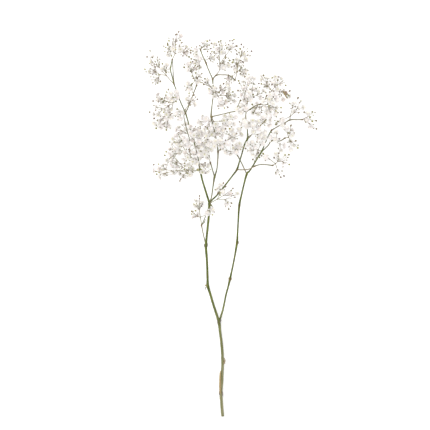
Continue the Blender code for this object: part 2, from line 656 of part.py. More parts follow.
bpy.ops.mesh.primitive_cube_add(size=1.0, location=(0, 0, -0.02))
table = bpy.context.object
table.name = "table_cutter"
table.scale = (0.9, 0.9, 0.04)
bpy.ops.object.transform_apply(location=False, rotation=False, scale=True)
table.hide_render = True
table.display_type = "WIRE"
for home in list(table.users_collection):
    home.objects.unlink(table)
cutters.objects.link(table)

# The stem with its limbs, knots, torn sheath and stub
pieces = [tube(name, path, part, 1 if name in STOUT else 0) for name, path in PATHS.items()]
for k, row in enumerate(KNOTS):
    pieces.append(knob("knot_%d" % k, place(*row[:3]), row[3] * KNOT_SWELL * MM, part))
pieces.append(knob("sheath_foot", place(219.6, 392.5, 3.4), 1.5 * MM, part, (1.0, 2.2, 1.0)))
stem_extras = [
    [(219.6, 393, 4, 0.9), (219.4, 384, 4.6, 0.8), (219.5, 377, 4.9, 0.75), (219.9, 371.5, 5.4, 0.55)],
    [(222.6, 362, 3.4, 0.9), (224.4, 360, 4.2, 1), (225.4, 358.5, 5, 0.55)],
    [(207.9, 286, 10.4, 0.9), (204.6, 285.4, 11.4, 0.6)],
    [(209.4, 203.5, 27.4, 1.2), (212.4, 206.3, 28.6, 0.6)],
    [(247.5, 138.5, 49.5, 0.9), (251, 135.2, 51, 0.6)],
]
for k, path in enumerate(stem_extras):
    pieces.append(tube("extra_%d" % k, path, part, 1))
stem = fuse("stem", pieces, table)
paint(stem, "stem_green", (0.19, 0.22, 0.07), 0.6)
for face in stem.data.polygons:
    face.use_smooth = True

faces = len(stem.data.polygons)
for name, spray in plan_sprays().items():
    draw = spray["draw"]
    pieces = []
    for k, (points, start, end) in enumerate(spray["twigs"]):
        pieces.append(twig("twig_%d" % k, points, start, end, spray["forks"][k][1], part))
    for k, tip in enumerate(spray["tips"]):
        if tip["kind"] == "bloom":
            pieces.append(bloom("bloom_%d" % k, tip, draw, part))
        else:
            pieces.append(bud("bud_%d" % k, tip, part))
    low = min(v.co.z for piece in pieces for v in piece.data.vertices)
    fused = fuse(name, pieces, table if low < 0 else None)
    paint(fused, name + "_white", (0.86, 0.84, 0.78), 0.8)
    faces += len(fused.data.polygons)
print("triangles in all:", faces)
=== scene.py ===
"""The gypsophila stem: petals, calyxes, buds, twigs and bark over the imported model, with its studio."""

import math
import random

import bpy
import numpy as np
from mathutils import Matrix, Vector


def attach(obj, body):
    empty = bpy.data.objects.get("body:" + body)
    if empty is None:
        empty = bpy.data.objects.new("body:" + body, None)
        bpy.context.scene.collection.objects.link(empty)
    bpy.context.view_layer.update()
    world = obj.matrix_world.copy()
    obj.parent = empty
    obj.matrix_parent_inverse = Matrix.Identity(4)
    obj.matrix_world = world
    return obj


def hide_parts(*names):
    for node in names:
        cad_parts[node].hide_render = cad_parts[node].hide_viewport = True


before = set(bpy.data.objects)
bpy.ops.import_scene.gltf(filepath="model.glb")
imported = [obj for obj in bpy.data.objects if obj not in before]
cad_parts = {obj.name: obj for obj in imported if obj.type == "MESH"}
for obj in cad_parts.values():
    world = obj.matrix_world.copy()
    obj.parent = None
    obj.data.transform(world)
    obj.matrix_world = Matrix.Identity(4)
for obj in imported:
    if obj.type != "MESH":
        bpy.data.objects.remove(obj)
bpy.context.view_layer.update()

# Driving dimensions
MM = 0.001
STEM_LENGTH = 0.600          # from the cut end to the highest bud
LENGTH_PIXELS = 385.0        # the same length in the photograph's pixels
SCALE = STEM_LENGTH / LENGTH_PIXELS
MIDDLE_X, MIDDLE_Y = 230.7, 224.2  # the middle of the outline, where the frame's origin stands
BLOOM_RADIUS = 4.7 * MM
BUD_RADIUS = 1.5 * MM
STALK_RADIUS = 0.42 * MM
FORK_RADIUS = 1.05 * MM
SEAT_GAP = 0.3 * MM          # between a spray's foot and the knot that carries it
CLEAR = 0.75 * MM            # least way between two sprays
LEAF_GROUP = 5               # blooms and buds that a last fork can carry
BUD_SHARE = 0.5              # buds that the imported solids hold, of those the umbels state
SEED = 4120
TIP_TRIES = 400              # draws for a bloom's or a bud's place
WAY_TRIES = 48               # draws for a clear way
EASED_TRY = 40               # from this draw on, a way may pass other sprays more closely
EASED_CLEAR = 0.6            # share of the least way that is enough then
SETTLED_TRY = 18             # after this draw, the best way so far will do
BEND_COST = 0.2 * MM         # what a bent way has to gain over a straight one
WAY_FLOOR = 0.2 * MM         # the lowest that a twig's underside runs
FORK_TRIES = 25              # draws for a fork's place
FREE_TRY = 15                # from this draw on, a fork may stand inside a bloom of its own spray
LAST_REACH = 9 * MM          # how far a last fork can be from the middle of its tips
FORK_FLOOR = 1.6 * MM        # the lowest that a fork stands
DOT = Vector((0, 0, 1e-6))   # so short a rod stands for a point


def place(px, py, height):
    """A point read in the photograph, with its height over the table in millimetres."""
    return Vector(((px - MIDDLE_X) * SCALE, (MIDDLE_Y - py) * SCALE, height * MM))


# Stem paths: pixel x, pixel y, height in mm, radius in mm. A path's last point is a knot, and so is each
# point where it swells.
MAIN = [
    (222.7, 417, 2.3, 2.35), (222.2, 411, 2.3, 2.3), (221.6, 404, 2.4, 2.25), (221.1, 397, 2.6, 2.4),
    (221, 391, 2.8, 2.5), (221.9, 383, 2.8, 2.1), (222.3, 373, 2.9, 2.1), (222.6, 363, 3.1, 2.15),
    (222.3, 352, 3.6, 2.1), (221.2, 341, 4.3, 2.1), (219.9, 330, 5.2, 2.15), (219, 322.5, 6, 2.5),
    (217, 316, 6.8, 2), (215, 310, 7.4, 1.9), (212.5, 302, 8.2, 1.9), (210.2, 294, 9.2, 1.9),
    (207.9, 286.5, 10.2, 2.3), (207.6, 280, 11.2, 1.9), (207.3, 270, 12.5, 1.85), (206.8, 259, 14.2, 1.8),
    (206, 249, 16, 2), (205.9, 245.5, 16.8, 2.2), (206.5, 239, 18, 1.75), (207.3, 231, 19.6, 1.75),
    (208.3, 221, 22, 1.75), (209.2, 211, 24.6, 1.75), (209.4, 203, 27, 2.3),
]
UPPER_LEFT = [
    (209.4, 203, 27, 1.65), (207.2, 196, 29, 1.55), (205, 189, 31.5, 1.5), (202.3, 180, 34, 1.35),
    (200.4, 171, 36.5, 1.6), (199.5, 167, 37.4, 1.25), (198.9, 163, 38.5, 1.5), (197.3, 155, 40, 0.95),
    (195.3, 147, 41.5, 0.9), (192.8, 138, 43.5, 1.2), (190.5, 130.5, 45.5, 0.85), (188.2, 122, 48, 0.85),
    (185.5, 113, 50, 1.2), (183.2, 108, 50, 0.7), (181, 103, 50, 0.65), (179, 98, 50, 0.95),
    (176.7, 91, 50, 0.65), (174, 84, 50, 0.9), (172.3, 77, 49.5, 0.6), (170.6, 69.5, 49, 0.6),
    (172.3, 59.8, 49, 1),
]
LEFT_INNER = [
    (185.5, 113, 50, 0.6), (188, 108, 53, 0.6), (193, 95, 57, 0.6), (196.7, 85.5, 60, 1),
]
RIGHT = [
    (219, 322.5, 6, 1.5), (221, 316.5, 6.8, 1.5), (223, 309.5, 7.5, 1.45), (224.6, 302, 8.3, 1.4),
    (226, 295, 9.2, 1.4), (228.3, 286.5, 10.4, 1.45), (230, 279.3, 11.4, 1.9), (231.6, 272, 12.6, 1.4),
    (233.3, 264, 14, 1.4), (235, 255, 15.8, 1.4), (237, 243, 18.4, 1.9), (237.6, 233, 20.4, 1.35),
    (238.3, 220, 23, 1.3), (239.3, 205.5, 26, 1.8), (241.5, 195, 28.2, 1.3), (243.8, 185, 30.4, 1.25),
    (246.8, 174, 33, 1.7), (249.5, 171, 34, 1.2), (254, 164, 36, 1.1), (257.6, 158, 38, 1.05),
    (261.8, 151.3, 40, 1.4), (264.2, 145.6, 42, 0.8), (268.5, 135.5, 45, 0.75), (271.5, 130.3, 47, 1.1),
]
FAR_RIGHT = [
    (271.5, 130.3, 47, 0.65), (280.5, 125, 44, 0.65), (284, 123.5, 42, 0.65), (289.8, 120, 38, 1.05),
    (296, 119.6, 32, 0.6), (302.3, 119.5, 27, 1),
]
RIGHT_LOW = [
    (261.8, 151.3, 40, 0.65), (265, 148.6, 38.5, 0.65), (268.5, 145, 37.5, 0.65), (272, 140.5, 35.5, 1),
    (279.5, 141, 30, 0.6), (285, 138, 26, 0.95),
]
RIGHT_INNER = [
    (246.8, 174, 33, 0.75), (244.6, 169.5, 34.5, 0.7), (241.3, 162.5, 36.5, 0.7), (236.2, 153.3, 44, 1.1),
]
CENTRE = [
    (209.4, 203, 27, 0.95), (211.5, 197, 30.5, 0.9), (213, 186.5, 35, 0.9), (214.5, 177, 39, 1.5),
    (216.6, 170.5, 43, 0.8), (217.6, 162, 48, 0.75), (218, 152, 53, 1.2), (216.8, 142, 58, 0.7),
    (214, 129, 63, 0.7), (211.2, 117, 67, 1.3), (211.9, 107, 69, 0.7), (213, 97, 70.5, 1),
    (213, 88, 71, 0.7), (212.7, 79.5, 71, 1.2),
]
CENTRE_LEFT = [
    (214.5, 177, 39, 0.75), (213, 171.5, 40.5, 0.7), (212, 168, 41.5, 0.7), (210.3, 162.5, 43, 1.1),
]
CROWN_LEFT = [
    (212.7, 79.5, 71, 0.75), (208, 69, 74, 0.7), (206, 63.5, 75, 1.1), (202.5, 56, 76, 0.75),
    (200.5, 50.3, 77, 1),
]
CROWN_RIGHT = [
    (212.7, 79.5, 71, 0.7), (216.3, 75.7, 73, 1.1), (222, 75.3, 74, 0.6), (229, 76, 74, 0.6),
    (235, 80.5, 72, 1),
]
TOP_TWIG = [
    (211.2, 117, 67, 0.75), (220.5, 115, 77, 0.75), (232, 112.3, 80, 0.7), (240, 111.4, 78, 0.7),
    (246.3, 111.5, 75, 1.2), (256.5, 105.5, 72, 0.65), (260.5, 104.5, 71, 1.1), (264, 101.5, 70, 0.6),
    (266.5, 96, 69, 1),
]
RIGHT_CENTRE = [
    (209.4, 203, 27, 1.2), (213, 199, 26.2, 1.2), (217.6, 194.5, 26, 1.2), (226.5, 183.5, 28.5, 1.15),
    (233, 175, 32, 1.15), (237, 169.5, 34.5, 1.6), (239.2, 162.5, 38, 1.05), (241.8, 154, 42, 1),
    (244.5, 144.5, 46.5, 1.2), (247.5, 138.5, 49.5, 1.5), (247.4, 131, 54, 0.65), (246.8, 122, 58, 1),
]
CROSSING_TWIG = [
    (237, 169.5, 34.5, 0.7), (242, 169.8, 38, 0.65), (249.5, 169, 40, 0.65), (254.5, 166.3, 40.5, 0.95),
    (261.5, 164.5, 36, 0.65), (272.8, 165.4, 26, 1),
]
LOW_TWIG = [
    (205.9, 245.5, 16.8, 0.75), (203.7, 236, 17.5, 0.7), (202.4, 230, 18, 0.75), (201.5, 225.3, 18.5, 1.1),
]
PATHS = {
    "main": MAIN, "upper_left": UPPER_LEFT, "right": RIGHT, "right_centre": RIGHT_CENTRE, "centre": CENTRE,
    "left_inner": LEFT_INNER, "far_right": FAR_RIGHT, "right_low": RIGHT_LOW, "right_inner": RIGHT_INNER,
    "centre_left": CENTRE_LEFT, "crown_left": CROWN_LEFT, "crown_right": CROWN_RIGHT, "top_twig": TOP_TWIG,
    "crossing_twig": CROSSING_TWIG, "low_twig": LOW_TWIG}
KNOT_SWELL = 1.35  # how far a knot swells past the stem's own radius
KNOT_RISE = 1.08   # a point is a knot where its radius passes both neighbours' by this
KNOTS = [path[-1] for path in PATHS.values()]
for path in PATHS.values():
    for before, row, after in zip(path, path[1:], path[2:]):
        if row[3] > KNOT_RISE * max(before[3], after[3]):
            KNOTS.append(row)
KNOT_AT = {row[:2]: row for row in KNOTS}

# Sprays: the knot each grows from, then its umbels, each as pixel x, pixel y, radius in pixels, height in mm,
# blooms and buds
SPRAYS = {
    "spray_crown_left": ((172.3, 59.8), [
        (176, 42, 9, 50, 4, 9), (169, 50, 6, 40, 2, 4), (185, 52, 6, 57, 3, 3)]),
    "spray_far_left": ((174, 84), [
        (154, 59, 8, 30, 2, 6), (151, 71, 6, 12, 2, 4), (156, 79, 5, 7, 1, 2), (166, 68, 5, 42, 2, 3)]),
    "spray_left": ((179, 98), [
        (161, 99, 8, 34, 4, 3), (172, 97, 7, 60, 4, 3), (154, 112, 7, 22, 3, 4), (158, 123, 6, 8, 3, 3),
        (168, 113, 8, 40, 5, 3), (168, 126, 4, 14, 2, 1)]),
    "spray_left_inner": ((185.5, 113), [(191, 101, 6, 66, 3, 4), (178, 114, 6, 66, 3, 2)]),
    "spray_left_upper": ((196.7, 85.5), [
        (193, 66, 8, 64, 5, 2), (198, 79, 6, 70, 2, 3), (190, 88, 5, 58, 2, 1)]),
    "spray_crown_tip": ((200.5, 50.3), [(206, 46, 6, 72, 2, 5), (194, 51, 5, 76, 1, 2)]),
    "spray_crown_inner": ((206, 63.5), [(197, 63, 6, 70, 3, 1), (213, 57, 5, 68, 2, 2)]),
    "spray_crown_middle": ((216.3, 75.7), [
        (218, 49, 8, 80, 4, 6), (223, 64, 7, 72, 4, 3), (230, 47, 7, 76, 1, 6)]),
    "spray_crown_right": ((235, 80.5), [
        (236, 66, 7, 66, 3, 8), (244, 52, 8, 68, 2, 8), (229, 81, 5, 80, 2, 2), (243, 73, 5, 62, 2, 3)]),
    "spray_upper_middle": ((213, 97), [
        (214, 91, 6, 84, 3, 0), (225, 90, 7, 58, 4, 2), (222, 104, 6, 80, 3, 1), (204, 81, 4, 62, 1, 1),
        (232, 98, 6, 66, 3, 2)]),
    "spray_heart": ((211.2, 117), [
        (212, 131, 8, 82, 6, 0), (229, 121, 8, 88, 7, 1), (203, 123, 7, 78, 5, 0), (222, 131, 6, 72, 3, 0)]),
    "spray_heart_low": ((218, 152), [
        (233, 133, 8, 66, 6, 0), (221, 143, 8, 78, 5, 0), (208, 127, 6, 44, 3, 0)]),
    "spray_heart_left": ((210.3, 162.5), [(208, 145, 7, 64, 5, 0), (203, 156, 6, 56, 3, 1)]),
    "spray_heart_right": ((236.2, 153.3), [(229, 149, 7, 58, 4, 1), (237, 147, 5, 64, 3, 1)]),
    "spray_low_lobe": ((200.4, 171), [
        (159, 171, 8, 12, 5, 4), (170, 164, 8, 24, 5, 4), (181, 173, 8, 8, 4, 3), (190, 170, 6, 26, 3, 3)]),
    "spray_low_left": ((198.9, 163), [
        (174, 151, 8, 34, 6, 3), (177, 138, 8, 24, 5, 1), (190, 158, 8, 62, 7, 3), (204, 168, 6, 56, 4, 3)]),
    "spray_low_inner": ((192.8, 138), [
        (189, 146, 8, 66, 6, 1), (203, 149, 7, 80, 5, 1), (196, 132, 8, 62, 6, 0), (182, 128, 7, 36, 4, 0),
        (203, 138, 6, 58, 3, 0)]),
    "spray_small_left": ((201.5, 225.3), [
        (198, 201, 6, 14, 3, 4), (196, 214, 5, 8, 2, 3), (211, 211, 4, 36, 2, 2)]),
    "spray_small_right": ((209.4, 203), [
        (221, 189, 6, 46, 3, 6), (234, 193, 5, 54, 2, 4), (228, 206, 4, 44, 1, 3)]),
    "spray_top": ((246.3, 111.5), [
        (248, 82, 9, 66, 4, 8), (245, 96, 8, 82, 6, 3), (241, 107, 7, 88, 4, 1), (258, 93, 7, 60, 4, 2)]),
    "spray_top_right": ((260.5, 104.5), [
        (270, 99, 8, 84, 6, 4), (273, 111, 8, 80, 6, 3), (258, 110, 7, 56, 5, 3)]),
    "spray_top_far": ((266.5, 96), [
        (264, 82, 7, 50, 3, 3), (276, 83, 8, 60, 5, 8), (285, 95, 6, 48, 3, 2)]),
    "spray_right_inner": ((247.5, 138.5), [(254, 125, 8, 74, 6, 0), (260, 135, 6, 66, 3, 0)]),
    "spray_right_upper": ((246.8, 122), [(243, 126, 7, 72, 4, 0), (266, 121, 7, 66, 4, 0)]),
    "spray_far_up": ((289.8, 120), [(298, 106, 9, 36, 4, 8), (281, 122, 6, 54, 2, 5)]),
    "spray_far_right": ((302.3, 119.5), [(310, 116, 7, 16, 2, 7), (313, 127, 4, 7, 1, 2)]),
    "spray_right_near": ((272, 140.5), [(273, 137, 6, 44, 3, 2), (282, 148, 5, 10, 2, 0)]),
    "spray_right_low": ((285, 138), [(289, 131, 6, 24, 3, 5), (292, 146, 6, 14, 3, 3)]),
    "spray_twig_right": ((272.8, 165.4), [
        (284, 161, 7, 10, 2, 6), (265, 158, 5, 32, 1, 3), (280, 172, 5, 8, 1, 4), (278, 155, 4, 20, 1, 2)]),
    "spray_right_heart": ((261.8, 151.3), [
        (252, 148, 7, 50, 5, 2), (256, 157, 5, 28, 2, 1), (263, 141, 4, 54, 2, 0)]),
}
RESTING = ("spray_far_left", "spray_left", "spray_low_lobe", "spray_far_right", "spray_twig_right")


class Crowd:
    """Everything already placed, as rods with a radius, so that later pieces can keep clear of it."""

    def __init__(self):
        self.rows = []
        self.owner = []
        self.grid = None

    def add(self, owner, a, b, radius):
        self.rows.append((*a, *b, radius))
        self.owner.append(owner)
        self.grid = None

    def near(self, owner, a, b, radius, skip_start=0.0, same=False):
        """The least way from a rod, less its start, to the rods of other owners or of the same one."""
        if self.grid is None:
            self.grid = np.array(self.rows)
            self.names = np.array(self.owner)
        rods = self.grid[(self.names == owner) == same]
        if not len(rods):
            return 1.0
        long = max((b - a).length, 1e-9)
        steps = max(2, int(long / (0.8 * MM)) + 1)
        ts = np.linspace(min(skip_start / long, 1.0), 1.0, steps)
        points = np.array(a)[None, :] + ts[:, None] * np.array(b - a)[None, :]
        start, way = rods[:, 0:3], rods[:, 3:6] - rods[:, 0:3]
        size = np.maximum((way * way).sum(1), 1e-12)
        off = points[:, None, :] - start[None, :, :]
        along = np.clip((off * way[None, :, :]).sum(2) / size[None, :], 0, 1)
        gaps = np.linalg.norm(off - along[:, :, None] * way[None, :, :], axis=2) - rods[None, :, 6]
        return float(gaps.min()) - radius


def anywhere(draw):
    """A unit vector with no favoured way."""
    z = draw.uniform(-1, 1)
    turn = draw.uniform(0, 2 * math.pi)
    flat = math.sqrt(max(0.0, 1 - z * z))
    return Vector((flat * math.cos(turn), flat * math.sin(turn), z))


def bend_clear(crowd, owner, a, b, radius, draw, skip=0.0, blooms=None):
    """A little curved way from a to b, clear of other sprays, and past its own spray's blooms if it can."""
    length = (b - a).length
    best, best_score = None, -9.0
    for attempt in range(WAY_TRIES):
        sway = (0.03 + 0.013 * attempt) * length
        middle = (a + b) / 2 + anywhere(draw) * sway
        points = [a, middle, b] if length > 20 * MM or attempt > 0 else [a, b]
        spans = list(zip(points, points[1:]))
        gap = min(crowd.near(owner, p, q, radius, skip if p is a else 0.0) for p, q in spans)
        low = min(p.z for p in points) - radius
        if gap < CLEAR * (1.0 if attempt < EASED_TRY else EASED_CLEAR) or low < WAY_FLOOR:
            continue
        own = 1.0
        if blooms is not None:
            own = min(blooms.near(owner, p, q, radius, same=True) for p, q in spans)
        score = min(own, 0.0) - BEND_COST * (attempt > 0)
        if score > best_score:
            best, best_score = points, score
        if own >= 0 or (best is not None and attempt > SETTLED_TRY):
            break
    return best


def split(points, start):
    """Part the tips into two groups across their widest spread, as a fork does."""
    spots = np.array([np.array(t["at"]) for t in points])
    centre = spots.mean(0)
    heading = centre - np.array(start)
    heading /= max(np.linalg.norm(heading), 1e-9)
    flat = spots - centre
    flat = flat - (flat @ heading)[:, None] * heading[None, :] * 0.6
    axis = np.linalg.svd(flat, full_matrices=False)[2][0]
    order = np.argsort(flat @ axis, kind="stable")
    ranked = flat[order] @ axis
    cuts = range(max(1, len(points) // 4), len(points) - max(1, len(points) // 4) + 1)
    cut = max(cuts, key=lambda k: ranked[k] - ranked[k - 1])
    return [[points[i] for i in order[:cut]], [points[i] for i in order[cut:]]]


def away_from_stem(seat, out):
    """A spray's first way out of its knot, turned aside where it would run along the stem."""
    for path in PATHS.values():
        spots = [place(*row[:3]) for row in path]
        for k, spot in enumerate(spots):
            if (spot - seat).length > 0.5 * MM:
                continue
            for other in spots[max(k - 1, 0):k] + spots[k + 1:k + 2]:
                along = (other - seat).normalized()
                if out.dot(along) > 0.7:
                    aside = out - along * out.dot(along)
                    if aside.length < 0.1:
                        aside = along.cross(Vector((0.2, 0.1, 1)))
                    out = (along * 0.6 + aside.normalized() * 0.8).normalized()
    return out


TIP_RADIUS = {"bloom": BLOOM_RADIUS, "bud": BUD_RADIUS}
TIP_FOOT = {"bloom": 0.62, "bud": 1.0}                   # its depth below its middle, for its radius
TIP_REACH = {"bloom": (0.2, 1.0), "bud": (0.8, 1.2)}     # its place from an umbel's middle to the rim
TIP_ROOM = {"bloom": 0.86, "bud": 0.7}                   # its way from blooms seen from above, in widths
LOW_TIP = 8 * MM             # a tip under this never faces down
APART = {                    # how near two tips may stand, for the sum of their radii
    ("bloom", "bloom"): 0.92, ("bloom", "bud"): 0.95, ("bud", "bloom"): 0.95, ("bud", "bud"): 1.2}


def fits(at, kind, radius, tips):
    """Whether a tip at this place rests over the table and apart from the spray's other tips."""
    if at.z < radius * TIP_FOOT[kind]:
        return False
    return all((at - t["at"]).length >= (radius + t["size"]) * APART[kind, t["kind"]] for t in tips)


def place_tips(crowd, name, seat, umbels, open_blooms, draw):
    """A spray's blooms and buds by seeded draws in its umbels, apart from each other and all else."""
    tips = []
    for ux, uy, spread, height, blooms, buds in umbels:
        middle = place(ux, uy, height)
        outward = (middle - seat).normalized()
        reach = Vector((spread * SCALE, spread * SCALE, spread * SCALE * 0.95))
        for kind in ["bloom"] * blooms + ["bud"] * int(buds * BUD_SHARE + 0.5):
            for attempt in range(TIP_TRIES):
                way = anywhere(draw)
                if kind == "bud" and way.dot(outward) < 0 and draw.random() < 0.7:
                    way = -way
                share = draw.uniform(*TIP_REACH[kind]) * (1 + attempt * 0.002)
                at = middle + Vector(way[i] * reach[i] * share for i in range(3))
                radius = TIP_RADIUS[kind] * draw.uniform(0.9, 1.08)
                if not fits(at, kind, radius, tips):
                    continue
                room = 2 * BLOOM_RADIUS * (TIP_ROOM[kind] * (1 - attempt / TIP_TRIES))
                if any((at - t).xy.length < room for t in open_blooms):
                    continue
                if crowd.near(name, at, at + DOT, radius) < CLEAR:
                    continue
                tips.append({"kind": kind, "at": at, "size": radius, "turn": draw.uniform(0, 6.28),
                             "lean": anywhere(draw)})
                if kind == "bloom":
                    open_blooms.append(at)
                break
    return tips


class Forking:
    """Joins a spray's tips to its knot by forking twigs, clear of all that stands already."""

    def __init__(self, crowd, name, tips, draw):
        self.crowd, self.name, self.tips, self.draw = crowd, name, tips, draw
        self.twigs, self.forks, self.stalked = [], [], []

    def others(self, group):
        """The blooms of this spray that a twig towards the group should pass by."""
        field = Crowd()
        field.add("far", Vector((9, 9, 9)), Vector((9, 9, 9.1)), 0.0)
        for t in self.tips:
            if not (len(group) == 1 and t is group[0]):
                field.add(self.name, t["at"], t["at"] + DOT, t["size"] * 0.72)
        return field

    def find_fork(self, start, centre, group, thick, first):
        """A free place for the next fork and a clear way to it, or neither."""
        share = 0.42 if len(group) > 6 else 0.5
        skip = 2.5 * MM if first else 0.0
        field = self.others(group)
        for attempt in range(FORK_TRIES):
            aim = start + (centre - start) * share * (1 - 0.02 * attempt)
            aim += anywhere(self.draw) * (centre - start).length * (0.05 + 0.03 * attempt)
            aim.z = max(aim.z, FORK_FLOOR)
            if self.crowd.near(self.name, aim, aim + DOT, FORK_RADIUS) < CLEAR:
                continue
            if attempt < FREE_TRY and field.near(self.name, aim, aim + DOT, FORK_RADIUS, same=True) < 0:
                continue
            bent = bend_clear(self.crowd, self.name, start, aim, thick, self.draw, skip, field)
            if bent:
                return aim, bent
        return None, None

    def grow(self, start, group, first=False):
        """Fork on from the start until each fork has few enough tips, and give those their stalks."""
        centre = sum((t["at"] for t in group), Vector()) / len(group)
        fork = start
        if first or len(group) > LEAF_GROUP or (centre - start).length >= LAST_REACH:
            thick = STALK_RADIUS * (1.0 + 0.05 * min(len(group), 14))
            fork, bent = self.find_fork(start, centre, group, thick, first)
            if fork is None:
                print("no way for a fork in", self.name)
                return
            self.twigs.append((bent, thick, thick * 0.92))
            self.forks.append((fork, FORK_RADIUS * (1.0 + 0.02 * min(len(group), 14))))
            for p, q in zip(bent, bent[1:]):
                self.crowd.add(self.name, p, q, thick)
            self.crowd.add(self.name, fork, fork + DOT, FORK_RADIUS)
        if len(group) <= LEAF_GROUP:
            for t in group:
                self.stalk(fork, t)
            return
        parts = split(group, fork)
        if len(group) > 2 * LEAF_GROUP:
            parts.sort(key=len)
            parts += split(parts.pop(), fork)
        for part in parts:
            self.grow(fork, part)

    def stalk(self, fork, t):
        """A tip's facing, and its stalk from the fork."""
        way = (t["at"] - fork).normalized()
        face = (way * 0.8 + Vector((0, 0, 0.6)) + t["lean"] * 0.45).normalized()
        if face.z < -0.5 and t["at"].z < LOW_TIP:
            face.z = 0.0
            face.normalize()
        neck = t["at"] - face * t["size"] * TIP_FOOT[t["kind"]]
        bent = bend_clear(self.crowd, self.name, fork, neck, STALK_RADIUS, self.draw, 0.0, self.others([t]))
        if bent is None:
            print("no way for a stalk in", self.name)
            return
        self.stalked.append({**t, "face": face, "stalk": bent})
        for p, q in zip(bent, bent[1:]):
            self.crowd.add(self.name, p, q, STALK_RADIUS)


def plan_sprays():
    """Each spray's blooms, buds, forks and twigs, one after the other, from its knot on the stem."""
    crowd = Crowd()
    for path in PATHS.values():
        spots = [place(*row[:3]) for row in path]
        for p, q, row, after in zip(spots, spots[1:], path, path[1:]):
            crowd.add("stem", p, q, max(row[3], after[3]) * MM * 1.1)
    for row in KNOTS:
        crowd.add("stem", place(*row[:3]), place(*row[:3]) + DOT, row[3] * KNOT_SWELL * MM)
    sprays, open_blooms = {}, []
    for number, (name, (spot, umbels)) in enumerate(SPRAYS.items()):
        draw = random.Random(SEED + 31 * number)
        knot = KNOT_AT[spot]
        seat = place(*knot[:3])
        tips = place_tips(crowd, name, seat, umbels, open_blooms, draw)
        if name in RESTING:
            lowest = min((t for t in tips if t["kind"] == "bloom"), key=lambda t: t["at"].z)
            lowest["at"].z = lowest["size"] * 0.5
        for t in tips:
            crowd.add(name, t["at"], t["at"] + DOT, t["size"])
        middle = sum((t["at"] for t in tips), Vector()) / len(tips)
        out = away_from_stem(seat, (middle - seat).normalized())
        sprays[name] = Forking(crowd, name, tips, draw)
        sprays[name].grow(seat + out * (knot[3] * KNOT_SWELL * MM + SEAT_GAP), tips, True)
    return sprays


# Dressing

class Socket:
    """An output that can stand in a formula, in a shader or in geometry nodes alike."""

    def __init__(self, tree, socket):
        self.tree, self.socket = tree, socket

    def join(self, other, operation, swap=False):
        first, second = (other, self) if swap else (self, other)
        return self.tree.maths(operation, first, second)

    def __add__(self, other):
        return self.join(other, "ADD")

    def __radd__(self, other):
        return self.join(other, "ADD", True)

    def __sub__(self, other):
        return self.join(other, "SUBTRACT")

    def __rsub__(self, other):
        return self.join(other, "SUBTRACT", True)

    def __mul__(self, other):
        return self.join(other, "MULTIPLY")

    def __rmul__(self, other):
        return self.join(other, "MULTIPLY", True)

    def __truediv__(self, other):
        return self.join(other, "DIVIDE")

    def __rtruediv__(self, other):
        return self.join(other, "DIVIDE", True)

    def __pow__(self, other):
        return self.join(other, "POWER")


class Tree:
    """A node tree with one way to add any node and to link or set its inputs."""

    def __init__(self, tree):
        self.tree = tree

    def node(self, kind, settings=None, values=None):
        made = self.tree.nodes.new(kind)
        for key, value in (settings or {}).items():
            setattr(made, key, value)
        for key, value in (values or {}).items():
            target = made.inputs[key]
            if isinstance(value, Socket):
                self.tree.links.new(value.socket, target)
            else:
                target.default_value = value
        return made

    def out(self, kind, settings=None, values=None, output=0):
        return Socket(self, self.node(kind, settings, values).outputs[output])

    def maths(self, operation, *terms):
        wide = any(isinstance(t, tuple) or isinstance(t, Socket) and t.socket.type == "VECTOR" for t in terms)
        if wide:
            terms = [t if isinstance(t, (Socket, tuple)) else (t, t, t) for t in terms]
        kind = "ShaderNodeVectorMath" if wide else "ShaderNodeMath"
        return self.out(kind, {"operation": operation}, dict(enumerate(terms)))

    def feed(self, value, node, key):
        """Link a value into a node that is there already."""
        self.tree.links.new(value.socket, node.inputs[key])

    def curb(self, value, low, high, to_low=0.0, to_high=1.0):
        """A value taken from one range to another, and held inside it."""
        return self.out("ShaderNodeMapRange", {}, {0: value, 1: low, 2: high, 3: to_low, 4: to_high})

    def blend(self, first, second, share):
        """One colour mixed into another."""
        values = {0: share}
        values[6] = first if isinstance(first, Socket) else (*first, 1)
        values[7] = second if isinstance(second, Socket) else (*second, 1)
        return self.out("ShaderNodeMix", {"data_type": "RGBA"}, values, 2)


def material(name):
    """A new material, its tree and its Principled shader."""
    stuff = bpy.data.materials.new(name)
    stuff.use_nodes = True
    return stuff, Tree(stuff.node_tree), stuff.node_tree.nodes["Principled BSDF"]


def speckle(tree, scale, detail=2.0, stretch=None):
    """Noise over the object's own place; a stretch draws it out along the stem."""
    where = tree.out("ShaderNodeTexCoord", output="Object")
    if stretch:
        where = where * stretch
    return tree.out("ShaderNodeTexNoise", {}, {"Vector": where, "Scale": scale, "Detail": detail})


def matt(tree, shader, grain, low, high):
    """A roughness between two values, uneven with the grain."""
    tree.feed(tree.curb(grain, 0.3, 0.7, low, high), shader, "Roughness")


def relief(tree, shader, height, strength, depth):
    """A fine relief on the skin."""
    bump = tree.out("ShaderNodeBump", {}, {"Strength": strength, "Distance": depth, "Height": height})
    tree.feed(bump, shader, "Normal")


def attribute(tree, name):
    """A value that the geometry carries, such as the age of a bloom."""
    return tree.out("ShaderNodeAttribute", {"attribute_name": name}, output="Fac")


